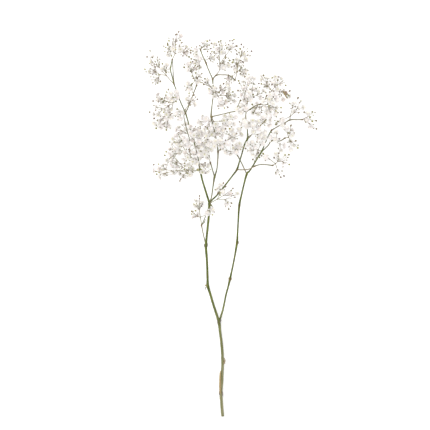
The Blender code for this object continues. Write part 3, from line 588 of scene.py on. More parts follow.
def petal_white():
    """Thin papery petals: white rims, a cream or yellow-green heart, and browned where a bloom has wilted;
    the inner petals are painted lighter, and all petals carry a painted glow.
    """
    stuff, tree, shader = material("petal_white")
    along, tone, wilt = attribute(tree, "along"), attribute(tree, "tone"), attribute(tree, "wilt")
    cloud = speckle(tree, 160.0, 3.0)
    fine = speckle(tree, 1500.0, 2.0)
    core = attribute(tree, "core")
    white = tree.blend((0.79, 0.775, 0.755), (0.785, 0.755, 0.765), tree.curb(tone, 0.35, 0.9))
    # Painted light: the inner petals are made lighter to offset the shade deep in the rosette.
    white = tree.blend(white, (0.88, 0.87, 0.85), core)
    veined = tree.blend(white, (0.70, 0.655, 0.615), tree.curb(fine * 0.5 + cloud * 0.5, 0.46, 0.66) * 0.4)
    cream = tree.blend((0.78, 0.73, 0.56), (0.80, 0.73, 0.66), tree.curb(tone, 0.3, 0.7))
    fresh = tree.blend((0.50, 0.49, 0.17), cream, tree.curb(tone, 0.14, 0.32))
    deep = core * 0.8 + (1.0 - along) * 0.5 + (cloud - 0.5) * 0.5
    heart = tree.blend(veined, fresh, tree.curb(deep, 0.45, 0.95) * 0.9)
    brown = tree.blend((0.36, 0.20, 0.11), (0.50, 0.36, 0.22), tree.curb(fine, 0.4, 0.65))
    dried = tree.blend(heart, brown, tree.curb(wilt * 1.3 + cloud * 0.6 * wilt, 0.25, 1.1))
    airy = attribute(tree, "airy") * (1.0 - wilt)
    dried = tree.blend(dried, (0.90, 0.89, 0.88), airy * 0.2)
    tree.feed(dried, shader, "Base Color")
    # Painted glow: the petals give off light in their own colour, more on the inner petals and in the airy
    # sprays, to lift the shade among them.
    painted_glow = dried * tree.curb(core, 0.0, 0.6, 0.8, 1.0) * (1.0 + airy * 0.12)
    tree.feed(painted_glow, shader, "Emission Color")
    shader.inputs["Emission Strength"].default_value = 0.4
    matt(tree, shader, fine, 0.62, 0.85)
    relief(tree, shader, fine + cloud * 0.5, 0.25, 0.0002)
    shader.inputs["Sheen Weight"].default_value = 0.15
    shader.inputs["Specular IOR Level"].default_value = 0.25
    through = tree.out("ShaderNodeBsdfTranslucent", {}, {"Color": (0.76, 0.73, 0.70, 1)})
    share = (1.0 - wilt * 0.9) * (0.42 - core * 0.2)
    thin = tree.out("ShaderNodeMixShader", {}, {0: share, 1: Socket(tree, shader.outputs[0]), 2: through})
    tree.feed(thin, tree.tree.nodes["Material Output"], "Surface")
    return stuff


def stem_bark():
    """Olive green bark with long pale streaks, duller near the cut and brown at the knots."""
    stuff, tree, shader = material("stem_bark")
    knotty, tone = attribute(tree, "knotty"), attribute(tree, "tone")
    streak = speckle(tree, 120.0, 4.0, (6.0, 0.45, 6.0))
    patch = speckle(tree, 55.0, 3.0)
    grain = speckle(tree, 900.0, 2.0, (2.0, 0.5, 2.0))
    place_y = tree.out("ShaderNodeSeparateXYZ", {}, {0: tree.out("ShaderNodeTexCoord", output="Object")}, 1)
    green = tree.blend((0.062, 0.084, 0.010), (0.165, 0.19, 0.042), tree.curb(streak, 0.4, 0.62))
    low = tree.blend((0.135, 0.142, 0.045), (0.295, 0.275, 0.15), tree.curb(streak, 0.38, 0.62))
    body = tree.blend(green, low, tree.curb(place_y + (patch - 0.5) * 0.12, -0.10, -0.26))
    spotted = tree.blend(body, (0.12, 0.065, 0.035), tree.curb(patch * grain * 2.0, 0.62, 0.85) * 0.7)
    knots = tree.blend(spotted, (0.15, 0.08, 0.022), tree.curb(knotty + (grain - 0.5) * 0.3, 0.15, 0.8))
    tan = tree.blend((0.44, 0.35, 0.17), (0.28, 0.16, 0.065), tree.curb(grain, 0.42, 0.72))
    aged = tree.blend((0.20, 0.19, 0.10), (0.26, 0.21, 0.13), tree.curb(patch, 0.4, 0.6))
    thin = tree.blend(knots, aged, attribute(tree, "pale") * (1.0 - knotty * 0.8))
    scaly = tree.blend((0.27, 0.235, 0.235), (0.15, 0.12, 0.11), tree.curb(grain, 0.35, 0.65))
    done = tree.blend(tree.blend(thin, tan, tone), scaly, attribute(tree, "dusk"))
    tree.feed(done, shader, "Base Color")
    matt(tree, shader, streak, 0.42, 0.68)
    shader.inputs["Specular IOR Level"].default_value = 0.3
    relief(tree, shader, streak + grain * 0.3, 0.5, 0.0007)
    return stuff


def twig_skin():
    """Thin twigs from green to tan and grey-lilac, with small brown flecks."""
    stuff, tree, shader = material("twig_skin")
    tone = attribute(tree, "tone")
    patch = speckle(tree, 45.0, 3.0)
    grain = speckle(tree, 1100.0, 2.0)
    green = tree.blend((0.25, 0.26, 0.13), (0.36, 0.32, 0.23), tree.curb(patch, 0.38, 0.6))
    grey = tree.blend(green, (0.42, 0.37, 0.35), tree.curb(tone + (patch - 0.5), 0.35, 0.85))
    brown = tree.blend(grey, (0.20, 0.12, 0.085), tree.curb(grain, 0.55, 0.75) * 0.6)
    tree.feed(brown, shader, "Base Color")
    matt(tree, shader, patch, 0.5, 0.75)
    relief(tree, shader, grain, 0.3, 0.0002)
    return stuff


def bud_skin():
    """Buds from olive through brown to dusky purple-grey, with a pale tip where white shows."""
    stuff, tree, shader = material("bud_skin")
    tone, along = attribute(tree, "tone"), attribute(tree, "along")
    grain = speckle(tree, 1300.0, 2.0)
    fresh = tree.blend((0.36, 0.34, 0.10), (0.25, 0.235, 0.09), tree.curb(tone, 0.08, 0.2))
    ripe = tree.blend(fresh, (0.23, 0.165, 0.10), tree.curb(tone, 0.3, 0.7))
    dusky = tree.blend(ripe, (0.21, 0.16, 0.155), tree.curb(tone, 0.82, 0.98))
    paper = tree.curb(along, 0.72, 1.0) * tree.curb(grain, 0.3, 0.6, 0.25, 0.8)
    tip = tree.blend(dusky, (0.66, 0.60, 0.52), paper)
    tree.feed(tip, shader, "Base Color")
    matt(tree, shader, grain, 0.45, 0.7)
    relief(tree, shader, grain, 0.4, 0.0002)
    return stuff


def calyx_skin():
    """Small green cups with paler, papery edges."""
    stuff, tree, shader = material("calyx_skin")
    tone, along = attribute(tree, "tone"), attribute(tree, "along")
    grain = speckle(tree, 900.0, 2.0)
    dull = tree.curb(tone + (grain - 0.5) * 0.6, 0.3, 0.8)
    green = tree.blend((0.20, 0.22, 0.095), (0.27, 0.22, 0.14), dull)
    edge = tree.blend(green, (0.55, 0.52, 0.40), tree.curb(along, 0.6, 1.0) * 0.7)
    tree.feed(edge, shader, "Base Color")
    matt(tree, shader, grain, 0.5, 0.75)
    relief(tree, shader, grain, 0.3, 0.0002)
    return stuff


def knot_skin():
    """Dark brown joints of the twigs, greenish in places."""
    stuff, tree, shader = material("knot_skin")
    grain = speckle(tree, 1000.0, 3.0)
    patch = speckle(tree, 90.0, 2.0)
    colour = tree.blend((0.13, 0.07, 0.035), (0.25, 0.165, 0.09), tree.curb(grain, 0.38, 0.64))
    green = tree.blend(colour, (0.19, 0.18, 0.07), tree.curb(patch, 0.55, 0.7) * 0.6)
    tree.feed(green, shader, "Base Color")
    matt(tree, shader, grain, 0.5, 0.75)
    relief(tree, shader, grain, 0.5, 0.0003)
    return stuff


# Geometry

TABLE = 0.05 * MM        # nothing reaches below this: petals that would are pressed flat by the table


def cloud_mesh(name, spots, edges, extra):
    """Points, joined by edges where given, with whole numbers, values or vectors on them."""
    mesh = bpy.data.meshes.new(name)
    mesh.from_pydata([tuple(spot) for spot in spots], edges, [])
    for key, rows in extra.items():
        if isinstance(rows[0], Vector):
            layer = mesh.attributes.new(key, "FLOAT_VECTOR", "POINT")
            layer.data.foreach_set("vector", [part for row in rows for part in row])
        else:
            layer = mesh.attributes.new(key, "INT" if isinstance(rows[0], int) else "FLOAT", "POINT")
            layer.data.foreach_set("value", rows)
    return mesh


def spot_mesh(name, keys, rows):
    """A point for each row, which gives its place and then what the keys name."""
    columns = list(zip(*rows))
    return cloud_mesh(name, columns[0], [], dict(zip(keys, columns[1:])))


class Growth(Tree):
    """A geometry tree with named inputs; it ends in real geometry with its material."""

    def __init__(self, name, inputs):
        group = bpy.data.node_groups.new(name, "GeometryNodeTree")
        super().__init__(group)
        kinds = {"Geometry": "NodeSocketGeometry", "Skin": "NodeSocketMaterial", "Seed": "NodeSocketInt"}
        self.slots = {}
        for key in ["Geometry", "Skin", *inputs]:
            kind = kinds.get(key, "NodeSocketFloat")
            socket = group.interface.new_socket(name=key, in_out="INPUT", socket_type=kind)
            self.slots[key] = socket.identifier
        group.interface.new_socket(name="Geometry", in_out="OUTPUT", socket_type="NodeSocketGeometry")
        self.inlet = group.nodes.new("NodeGroupInput")
        self.settings = inputs

    def given(self, key):
        return Socket(self, self.inlet.outputs[key])

    def carried(self, name, kind="FLOAT"):
        return self.out("GeometryNodeInputNamedAttribute", {"data_type": kind}, {"Name": name})

    def xyz(self, x, y, z):
        return self.out("ShaderNodeCombineXYZ", {}, {0: x, 1: y, 2: z})

    def turned(self, euler):
        return self.out("FunctionNodeEulerToRotation", {}, {0: euler})

    def even(self, value):
        """One value as all three parts of a vector."""
        return self.xyz(value, value, value)

    def where(self):
        """The three parts of each point's place."""
        parts = self.node("ShaderNodeSeparateXYZ", {}, {0: self.out("GeometryNodeInputPosition")})
        return [Socket(self, parts.outputs[k]) for k in range(3)]

    def marked(self, geometry, name, value):
        """Geometry that carries a named value on its points."""
        return self.out("GeometryNodeStoreNamedAttribute", {"data_type": "FLOAT", "domain": "POINT"},
                        {"Geometry": geometry, "Name": name, "Value": value})

    def moved(self, geometry, **way):
        """Geometry with its points at a new Position, or shifted by an Offset."""
        return self.out("GeometryNodeSetPosition", {}, {"Geometry": geometry, **way})

    def drawn(self, low, high, seed):
        """A seeded draw for each element."""
        values = {2: low, 3: high, "Seed": self.given("Seed") + seed}
        return self.out("FunctionNodeRandomValue", {"data_type": "FLOAT"}, values, 1)

    def planted(self, shape, scale=None, **choice):
        """The shape on every point, turned as its point says, and sized so too where no scale is given."""
        points = self.out("GeometryNodeMeshToPoints", {}, {0: self.given("Geometry")})
        level = self.turned(self.xyz(0.0, 0.0, self.carried("turn")))
        values = {"Rotation": level, "Vector": self.carried("face", "FLOAT_VECTOR")}
        facing = self.out("FunctionNodeAlignRotationToVector", {"axis": "Z"}, values)
        scale = scale or self.even(self.carried("size"))
        return self.out("GeometryNodeInstanceOnPoints", {}, {
            "Points": points, "Instance": shape, "Rotation": facing, "Scale": scale, **choice})

    def finish(self, geometry):
        """Real, smooth geometry that is pressed flat where it would pass the table, with its material."""
        real = self.out("GeometryNodeRealizeInstances", {}, {0: geometry})
        x, y, z = self.where()
        pressed = self.moved(real, Position=self.xyz(x, y, self.maths("MAXIMUM", z, TABLE)))
        smooth = self.out("GeometryNodeSetShadeSmooth", {}, {0: pressed})
        values = {"Geometry": smooth, "Material": self.given("Skin")}
        skinned = self.out("GeometryNodeSetMaterial", {}, values)
        self.feed(skinned, self.tree.nodes.new("NodeGroupOutput"), 0)

    def grow(self, name, mesh, skin):
        """Run the tree on a mesh and keep the result as a plain object."""
        seedling = bpy.data.objects.new(name, mesh)
        bpy.context.scene.collection.objects.link(seedling)
        modifier = seedling.modifiers.new("growth", "NODES")
        modifier.node_group = self.tree
        modifier[self.slots["Skin"]] = skin
        for key, value in self.settings.items():
            modifier[self.slots[key]] = value
        bpy.context.view_layer.update()
        graph = bpy.context.evaluated_depsgraph_get()
        plain = bpy.data.meshes.new_from_object(seedling.evaluated_get(graph))
        seedling.modifiers.clear()
        seedling.data = plain
        if not plain.materials:
            plain.materials.append(skin)
        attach(seedling, "root")
        return seedling


OUTER_LAYERS = ((7, 1.08, 86), (7, 0.98, 64))            # petals, reach and lean from the axis in degrees
INNER_LAYERS = ((6, 0.92, 44), (5, 0.84, 25), (3, 0.70, 8))
ROSETTES = 5             # different blooms, which the points take by their kind
RUFFLE = 0.0011          # how far a petal's rim strays
PLEATS = 5.0             # teeth of a calyx and folds of a bud
CUP_DEPTH = 0.46         # a calyx cup's depth for a bloom of unit radius


def petal_shape(tree, seed):
    """One notched petal of unit length from the origin, cupped, with its tip bent back and rippled."""
    grid = tree.out("GeometryNodeMeshGrid", {}, {
        "Size X": 1.0, "Size Y": 1.0, "Vertices X": 5, "Vertices Y": 4})
    across, out, _ = tree.where()
    u = across * 2.0
    t = out + 0.5
    grid = tree.marked(grid, "along", t)
    width = 0.08 + t ** 0.7 * 0.42 - t ** 6.0 * 0.12
    notch = 1.0 - tree.maths("ABSOLUTE", u)
    length = t - (u * u * 0.14 + notch * 0.08) * t * t
    ripple = tree.maths("SINE", u * 5.5 + seed * 1.7) * t * t * 0.08
    rise = u * u * t * 0.18 - t * t * 0.14 + ripple
    return tree.moved(grid, Position=tree.xyz(u * width, length, rise))


def petal_rosette(tree, layers, seed):
    """Part of a double bloom of unit radius: layers of petals round the axis, the inner ones more upright."""
    petal = petal_shape(tree, seed)
    bloom = tree.node("GeometryNodeJoinGeometry")
    for k, (count, reach, lean) in enumerate(layers):
        draws = 97 * seed + 11 * lean
        ring = tree.out("GeometryNodeMeshCircle", {}, {"Vertices": count, "Radius": 0.05 + 0.02 * k})
        step = 2 * math.pi / count
        angle = tree.out("GeometryNodeInputIndex") * step + (0.45 * k + seed) + tree.drawn(-0.25, 0.25, draws)
        lift = math.radians(90 - lean) + tree.drawn(-0.22, 0.22, draws + 1)
        size = tree.drawn(reach * 0.9, reach * 1.05, draws + 2)
        turned = tree.turned(tree.xyz(lift, tree.drawn(-0.25, 0.25, draws + 3), angle))
        # How inner the layer is; the petal material paints these petals lighter and gives them more painted
        # glow.
        core = min(1.0, max(0.0, (48 - lean) / 40))
        whorl = tree.out("GeometryNodeInstanceOnPoints", {}, {
            "Points": ring, "Instance": tree.marked(petal, "core", core), "Rotation": turned,
            "Scale": tree.even(size)})
        tree.feed(whorl, bloom, 0)
    return tree.out("GeometryNodeRealizeInstances", {}, {0: Socket(tree, bloom.outputs[0])})


def grow_petals(name, mesh, layers, skin):
    """One of the rosettes on each bloom's point, opened as far as that bloom is, with its rims ruffled."""
    tree = Growth(name + "_growth", {"Ruffle": RUFFLE, "Seed": 0})
    rosettes = tree.node("GeometryNodeJoinGeometry")
    for seed in range(ROSETTES, 0, -1):
        rosette = tree.out("GeometryNodeGeometryToInstance", {}, {0: petal_rosette(tree, layers, seed)})
        tree.feed(rosette, rosettes, 0)
    size = tree.carried("size")
    opened = tree.carried("open")
    scale = tree.xyz(size * opened, size * opened, size / opened)
    blooms = tree.planted(Socket(tree, rosettes.outputs[0]), scale, **{
        "Pick Instance": True, "Instance Index": tree.carried("kind", "INT")})
    real = tree.out("GeometryNodeRealizeInstances", {}, {0: blooms})
    spot = tree.out("GeometryNodeInputPosition")
    noise = tree.out("ShaderNodeTexNoise", {}, {"Vector": spot, "Scale": 420.0, "Detail": 1.0}, 1)
    push = (noise - (0.5, 0.5, 0.5)) * tree.even(tree.given("Ruffle")) * tree.even(tree.carried("along"))
    tree.finish(tree.moved(real, Offset=push))
    return tree.grow(name, mesh, skin)


def grow_cups(name, mesh, skin):
    """Calyx cups under the blooms: flared, with teeth round the rim."""
    tree = Growth(name + "_growth", {})
    cone = tree.out("GeometryNodeMeshCone", {}, {
        "Vertices": 10, "Side Segments": 3, "Radius Top": 0.40, "Radius Bottom": 0.13, "Depth": CUP_DEPTH})
    x, y, z = tree.where()
    t = z / CUP_DEPTH
    belly = 1.0 + tree.maths("SINE", t * math.pi) * 0.28
    teeth = tree.maths("COSINE", tree.maths("ARCTAN2", y, x) * PLEATS) * 0.06 * t * t
    cup = tree.moved(tree.marked(cone, "along", t), Position=tree.xyz(x * belly, y * belly, z + teeth))
    tree.finish(tree.planted(cup))
    return tree.grow(name, mesh, skin)


def grow_buds(name, mesh, skin):
    """Plump buds, a little longer than wide and pleated towards the tip."""
    tree = Growth(name + "_growth", {})
    ball = tree.out("GeometryNodeMeshUVSphere", {}, {"Segments": 10, "Rings": 7, "Radius": 1.0})
    x, y, z = tree.where()
    folds = tree.maths("COSINE", tree.maths("ARCTAN2", y, x) * PLEATS) * 0.08
    pleat = 1.0 + folds - z * 0.2 - z * z * 0.08
    ball = tree.marked(ball, "along", z * 0.5 + 0.5)
    bud = tree.moved(ball, Position=tree.xyz(x * pleat, y * pleat, z * 1.12))
    tree.finish(tree.planted(bud))
    return tree.grow(name, mesh, skin)


def grow_knots(name, mesh, skin):
    """Swollen joints, drawn out along the twig and a little uneven."""
    tree = Growth(name + "_growth", {})
    ball = tree.out("GeometryNodeMeshIcoSphere", {}, {"Radius": 1.0, "Subdivisions": 3})
    spot = tree.out("GeometryNodeInputPosition")
    noise = tree.out("ShaderNodeTexNoise", {}, {"Vector": spot, "Scale": 1.4})
    swell = 0.72 + noise * 0.5
    knot = tree.moved(ball, Position=spot * tree.xyz(swell, swell, swell * 1.25))
    tree.finish(tree.planted(knot))
    return tree.grow(name, mesh, skin)


def grow_stems(name, mesh, skin, sides):
    """Round stems along lines, each as thick as its points say, with a slightly uneven skin."""
    tree = Growth(name + "_growth", {"Wobble": 0.3})
    lines = tree.out("GeometryNodeMeshToCurve", {}, {0: tree.given("Geometry")})
    thick = tree.carried("thick")
    ring = tree.out("GeometryNodeCurvePrimitiveCircle", {}, {"Resolution": sides, "Radius": 1.0})
    tube = tree.out("GeometryNodeCurveToMesh", {}, {
        "Curve": lines, "Profile Curve": ring, "Scale": thick, "Fill Caps": True})
    spot = tree.out("GeometryNodeInputPosition")
    noise = tree.out("ShaderNodeTexNoise", {}, {"Vector": spot, "Scale": 260.0})
    push = (noise - 0.5) * tree.given("Wobble") * thick
    offset = tree.out("GeometryNodeInputNormal") * tree.even(push)
    tree.finish(tree.moved(tube, Offset=offset))
    return tree.grow(name, mesh, skin)


def smooth_way(points, step):
    """A smooth line through points, in short steps; each point may carry more numbers behind its place."""
    rows = [np.array(p, dtype=float) for p in points]
    if len(rows) == 2:
        rows.insert(1, (rows[0] + rows[1]) / 2)
    out = []
    for k in range(len(rows) - 1):
        a, b, c, d = rows[max(k - 1, 0)], rows[k], rows[k + 1], rows[min(k + 2, len(rows) - 1)]
        n = max(1, int(np.linalg.norm((c - b)[:3]) / step + 0.5))
        for i in range(n):
            s = i / n
            bend = (2 * a - 5 * b + 4 * c - d) * s * s + (3 * b - a - 3 * c + d) * s ** 3
            spot = 0.5 * (2 * b + (c - a) * s + bend)
            spot[3:] = b[3:] + (c - b)[3:] * s
            out.append(spot)
    out.append(rows[-1])
    return out


class Lines:
    """Lines gathered for one piece, with a thickness and more on each point."""

    def __init__(self, *names):
        self.spots, self.edges, self.extra = [], [], {name: [] for name in names}

    def add(self, way, **values):
        first = len(self.spots)
        self.spots.extend(Vector(p[:3]) for p in way)
        self.edges.extend((first + k, first + k + 1) for k in range(len(way) - 1))
        for name, rows in values.items():
            self.extra[name].extend(rows if isinstance(rows, list) else [rows] * len(way))

    def mesh(self, name):
        """The lines as one mesh of edges."""
        return cloud_mesh(name, self.spots, self.edges, self.extra)


LIMB_STEP = 1.2 * MM         # steps along the stem's limbs
TRIMMING_STEP = 0.8 * MM
TWIG_STEP = 2.5 * MM
LEAST_LIMB = 0.8 * MM        # the radius of the thinnest limb of the stem
SLIM_LIMB = 1.4 * MM         # limbs thinner than this swell more at their knots
BROWN_JOINT = 0.6            # a stem knot browner than this gets a joint of its own
THIN_LIMB = 1.5              # where its radius is under this, in millimetres as in the paths
BUD_SPACE = 3.6 * MM         # how far apart the small buds stand, seen from above
BUD_REACH = 18 * MM          # how far a small bud can stand from its fork
BUD_FLOOR = 3 * MM           # and how low over the table
BUD_TRIES = 90               # draws for a free place
BUD_EASING = 130             # draws over which their space would shrink to nothing
MORE_BUDS = 5                # buds more in each umbel of a light spray
AIRY_LOSS = 0.45             # share of the small buds that the airiest sprays go without
AIRY_THIN = 0.2              # how much thinner their stalks are
OPENING_SHARE = 0.5          # share of the added buds that already show white
OPENING_SPREAD = 0.78        # how far these are open
WILTED_SPOT = (284, 95, 46)  # the brown bloom, in the photograph's pixels and in millimetres over the table
WILTED_REACH = 7 * MM
LIGHT_SPRAYS = (             # sprays with more small buds
    "spray_crown_left", "spray_crown_middle", "spray_crown_right", "spray_crown_inner", "spray_upper_middle",
    "spray_crown_tip", "spray_far_left", "spray_left_upper", "spray_top_far", "spray_far_up")
AIRY_SPRAYS = {              # paler sprays with fewer buds on thinner stalks, and how pale each is
    "spray_far_up": 1.0, "spray_far_right": 1.0, "spray_right_near": 1.0, "spray_right_low": 1.0,
    "spray_twig_right": 0.9, "spray_right_heart": 0.5, "spray_right_upper": 0.6, "spray_top_right": 0.6,
    "spray_top_far": 0.6, "spray_top": 0.4, "spray_right_inner": 0.5}
KNOT_BROWN = {               # how brown a stem knot is; the others are fully so
    (219, 322.5): 0.15, (207.9, 286.5): 0.2, (205.9, 245.5): 0.15, (209.4, 203): 0.1, (230, 279.3): 0.62,
    (237, 243): 0.4, (239.3, 205.5): 0.5, (214.5, 177): 0.15, (198.9, 163): 0.15, (200.4, 171): 0.2,
    (246.8, 174): 0.35, (261.8, 151.3): 0.2, (237, 169.5): 0.55, (247.5, 138.5): 0.15}

# What trims the stem: points with radii as in the paths, then how tan and how grey it is
TRIMMINGS = {
    "dry sheath": ([
        (220.6, 395, 3.6, 0.6), (220.2, 392.5, 4.2, 1.35), (220.0, 384, 4.6, 1.45), (220.1, 377, 4.8, 1.3),
        (220.3, 373, 5, 0.95), (220.6, 371, 5, 0.25)], 1.0, 0.0),
    "green swelling in the middle": ([
        (213.9, 181, 37.6, 0.8), (214.5, 177.6, 39.4, 1.55), (215.5, 174, 41.6, 1.15),
        (216.6, 170, 43.6, 0.7)], 0.0, 0.0),
    "green swelling on the left": ([
        (199.4, 166.4, 38.4, 0.9), (198.7, 163, 40, 1.6), (198.5, 160, 40.6, 0.7)], 0.0, 0.0),
    "stub at the heart": ([
        (210.7, 114.8, 69, 0.6), (211.3, 116.8, 70, 1.5), (212.9, 118, 70, 0.6)], 0.5, 0.0),
    "limb beside the left one": ([
        (185.2, 113.6, 50.6, 0.5), (183.9, 116.4, 50.6, 0.6), (185.9, 126, 49, 0.7),
        (188.4, 135.5, 46.4, 0.65), (190.6, 141, 44.4, 0.5)], 0.0, 0.25),
    "limb beside the highest one": ([
        (172.4, 60.4, 49.8, 0.5), (172.9, 66, 50.6, 0.6), (173.2, 73, 50.8, 0.65),
        (173.8, 79.6, 50.6, 0.65), (174.6, 85, 50, 0.5)], 0.0, 0.35),
    "twig under the top": ([
        (246.1, 112, 77, 0.7), (245.6, 116, 79, 0.8), (245.8, 119.6, 79.6, 1.0),
        (246.3, 123, 79, 0.6)], 0.25, 0.2),
    "twig left of the top": ([
        (235.4, 111.8, 80, 0.5), (237.8, 106.4, 83, 0.7), (240.5, 100, 86, 0.6)], 0.2, 0.2),
    "tail of the wilted bloom": ([
        (282.6, 90.4, 51, 0.4), (284, 93, 52, 1.5), (285.6, 96, 51, 1.2),
        (287.4, 99.4, 49, 0.2)], 0.9, 0.15),
    "twig on the right": ([
        (258.8, 127.4, 66, 0.5), (262.2, 124, 67, 0.7), (265.4, 120.4, 68, 1.0),
        (266.4, 119.2, 68, 0.4)], 0.3, 0.2),
    "brown scale over the sheath": ([
        (222.9, 366.4, 3.2, 0.4), (223.4, 364.8, 3.6, 1), (224.3, 362.6, 4.2, 1.35),
        (224.9, 360.6, 4.8, 1.1), (224.3, 358.6, 4.6, 0.5)], 0.9, 0.4),
    "tan stub on the left": ([
        (207.9, 286, 10.4, 1.1), (206.2, 285.6, 11.2, 1.2), (204.8, 285.2, 11.4, 0.7)], 0.7, 0.0),
    "grey stub on the left": ([
        (206, 286.8, 11, 0.7), (205.4, 288.6, 11, 0.6), (205.2, 290.4, 10.6, 0.35)], 0.0, 0.8),
    "stub at the upper fork": ([
        (209.4, 203.5, 27.4, 1.4), (211, 205, 28.4, 1.3), (212.6, 206.6, 28.6, 0.6)], 0.0, 0.0),
    "stub on the right": ([
        (247.5, 138.7, 49.5, 1.3), (249.4, 136.9, 50.5, 1.4), (251.2, 135.2, 51, 1.0)], 0.0, 0.0),
    "left scale, middle knot": ([
        (204.9, 247.4, 17.2, 0.7), (204.3, 245.6, 18.2, 0.7), (204.2, 243.8, 18.6, 0.3)], 0.0, 0.7),
    "right scale, middle knot": ([
        (207, 246.8, 17.2, 0.7), (207.5, 245.0, 18.2, 0.7), (207.5, 243.2, 18.6, 0.3)], 0.0, 0.9),
    "scale, upper right knot": ([
        (237.9, 244.2, 19, 0.6), (238.5, 242.8, 19.6, 0.6), (238.5, 241.2, 20, 0.3)], 0.2, 0.7),
    "left scale, lower right knot": ([
        (229.1, 280.4, 12, 0.6), (228.7, 278.8, 12.8, 0.6), (228.9, 277.2, 13, 0.3)], 0.6, 0.4),
    "right scale, lower right knot": ([
        (230.9, 280.6, 12, 0.6), (231.5, 279, 12.8, 0.6), (231.5, 277.4, 13, 0.3)], 0.6, 0.4),
    "right scale, lower fork": ([
        (220.2, 322.8, 7.2, 0.8), (220.9, 320.8, 8.2, 0.8), (220.8, 318.9, 8.6, 0.35)], 0.0, 1.0),
    "left scale, lower fork": ([
        (217.8, 323.6, 7.2, 0.7), (217.4, 321.8, 8, 0.6), (217.6, 320.2, 8.4, 0.3)], 0.2, 0.6),
    "left scale, lowest knot": ([
        (219.9, 396.2, 3.4, 0.4), (219.5, 394.2, 3.8, 1.1), (219.5, 392.2, 4.2, 0.8),
        (219.7, 390.6, 4.4, 0.25)], 0.1, 0.9),
    "right scale, lowest knot": ([
        (222.1, 397.4, 3.4, 0.4), (222.6, 395.2, 3.8, 0.95), (222.5, 393, 4.2, 0.7),
        (222.3, 391.4, 4.4, 0.25)], 0.1, 0.8),
    "side twig": ([
        (201.5, 225.3, 18.5, 0.7), (204.4, 219, 20.4, 0.65), (207.2, 211.6, 23.6, 0.65),
        (208.8, 206, 26, 0.7)], 0.0, 0.0),
    "small leaf": ([
        (202.2, 224.6, 19, 0.5), (204.3, 222.2, 20, 0.75), (205.6, 219.2, 20.6, 0.2)], 0.0, 0.0),
}
TRIMMING_PALE = 0.4
PALENESS = {                 # how far a thin limb's bark has aged
    "centre": 0.6, "left_inner": 0.6, "far_right": 0.9, "right_low": 0.7, "right_inner": 0.8,
    "centre_left": 0.4, "crown_left": 0.5, "crown_right": 0.8, "top_twig": 0.8, "crossing_twig": 1.0,
    "low_twig": 0.8}


def limb_way(path, step):
    """A limb's points as a smooth line with radii."""
    return smooth_way([(*place(*row[:3]), row[3] * MM) for row in path], step)


def bark_lines():
    """The stem's limbs, swollen and browned at their knots, and what trims them."""
    bark = Lines("thick", "knotty", "tone", "pale", "dusk")
    knots = [(place(*row[:3]), row[3] * MM, KNOT_BROWN.get(row[:2], 1.0)) for row in KNOTS]
    for name, path in PATHS.items():
        way = limb_way(path, LIMB_STEP)
        thick, knotty = [], []
        for spot in way:
            at, radius = Vector(spot[:3]), spot[3]
            near, brown = max((math.exp(-((at - middle).length / (reach + 0.6 * MM)) ** 2), brown)
                              for middle, reach, brown in knots)
            knotty.append(near * brown)
            swelling = max(0.0, SLIM_LIMB - radius) * 0.5 * near
            thick.append(max(radius, LEAST_LIMB) * (1 + 0.08 * near) + swelling)
        bark.add(way, thick=thick, knotty=knotty, tone=0.0, pale=PALENESS.get(name, 0.0), dusk=0.0)
    for path, tan, grey in TRIMMINGS.values():
        way = limb_way(path, TRIMMING_STEP)
        bark.add(way, thick=[spot[3] for spot in way], knotty=0.0, tone=tan, pale=TRIMMING_PALE, dusk=grey)
    return bark


def stem_joints():
    """The brown knots of the thin limbs: place, way of the limb, turn and radius."""
    joints = []
    for path in PATHS.values():
        for before, row, after in zip(path, path[1:], path[2:] + path[-1:]):
            if row in KNOTS and KNOT_BROWN.get(row[:2], 1.0) > BROWN_JOINT and row[3] < THIN_LIMB:
                along = (place(*after[:3]) - place(*before[:3])).normalized()
                joints.append((place(*row[:3]), along, 0.0, row[3] * KNOT_SWELL * MM))
    return joints


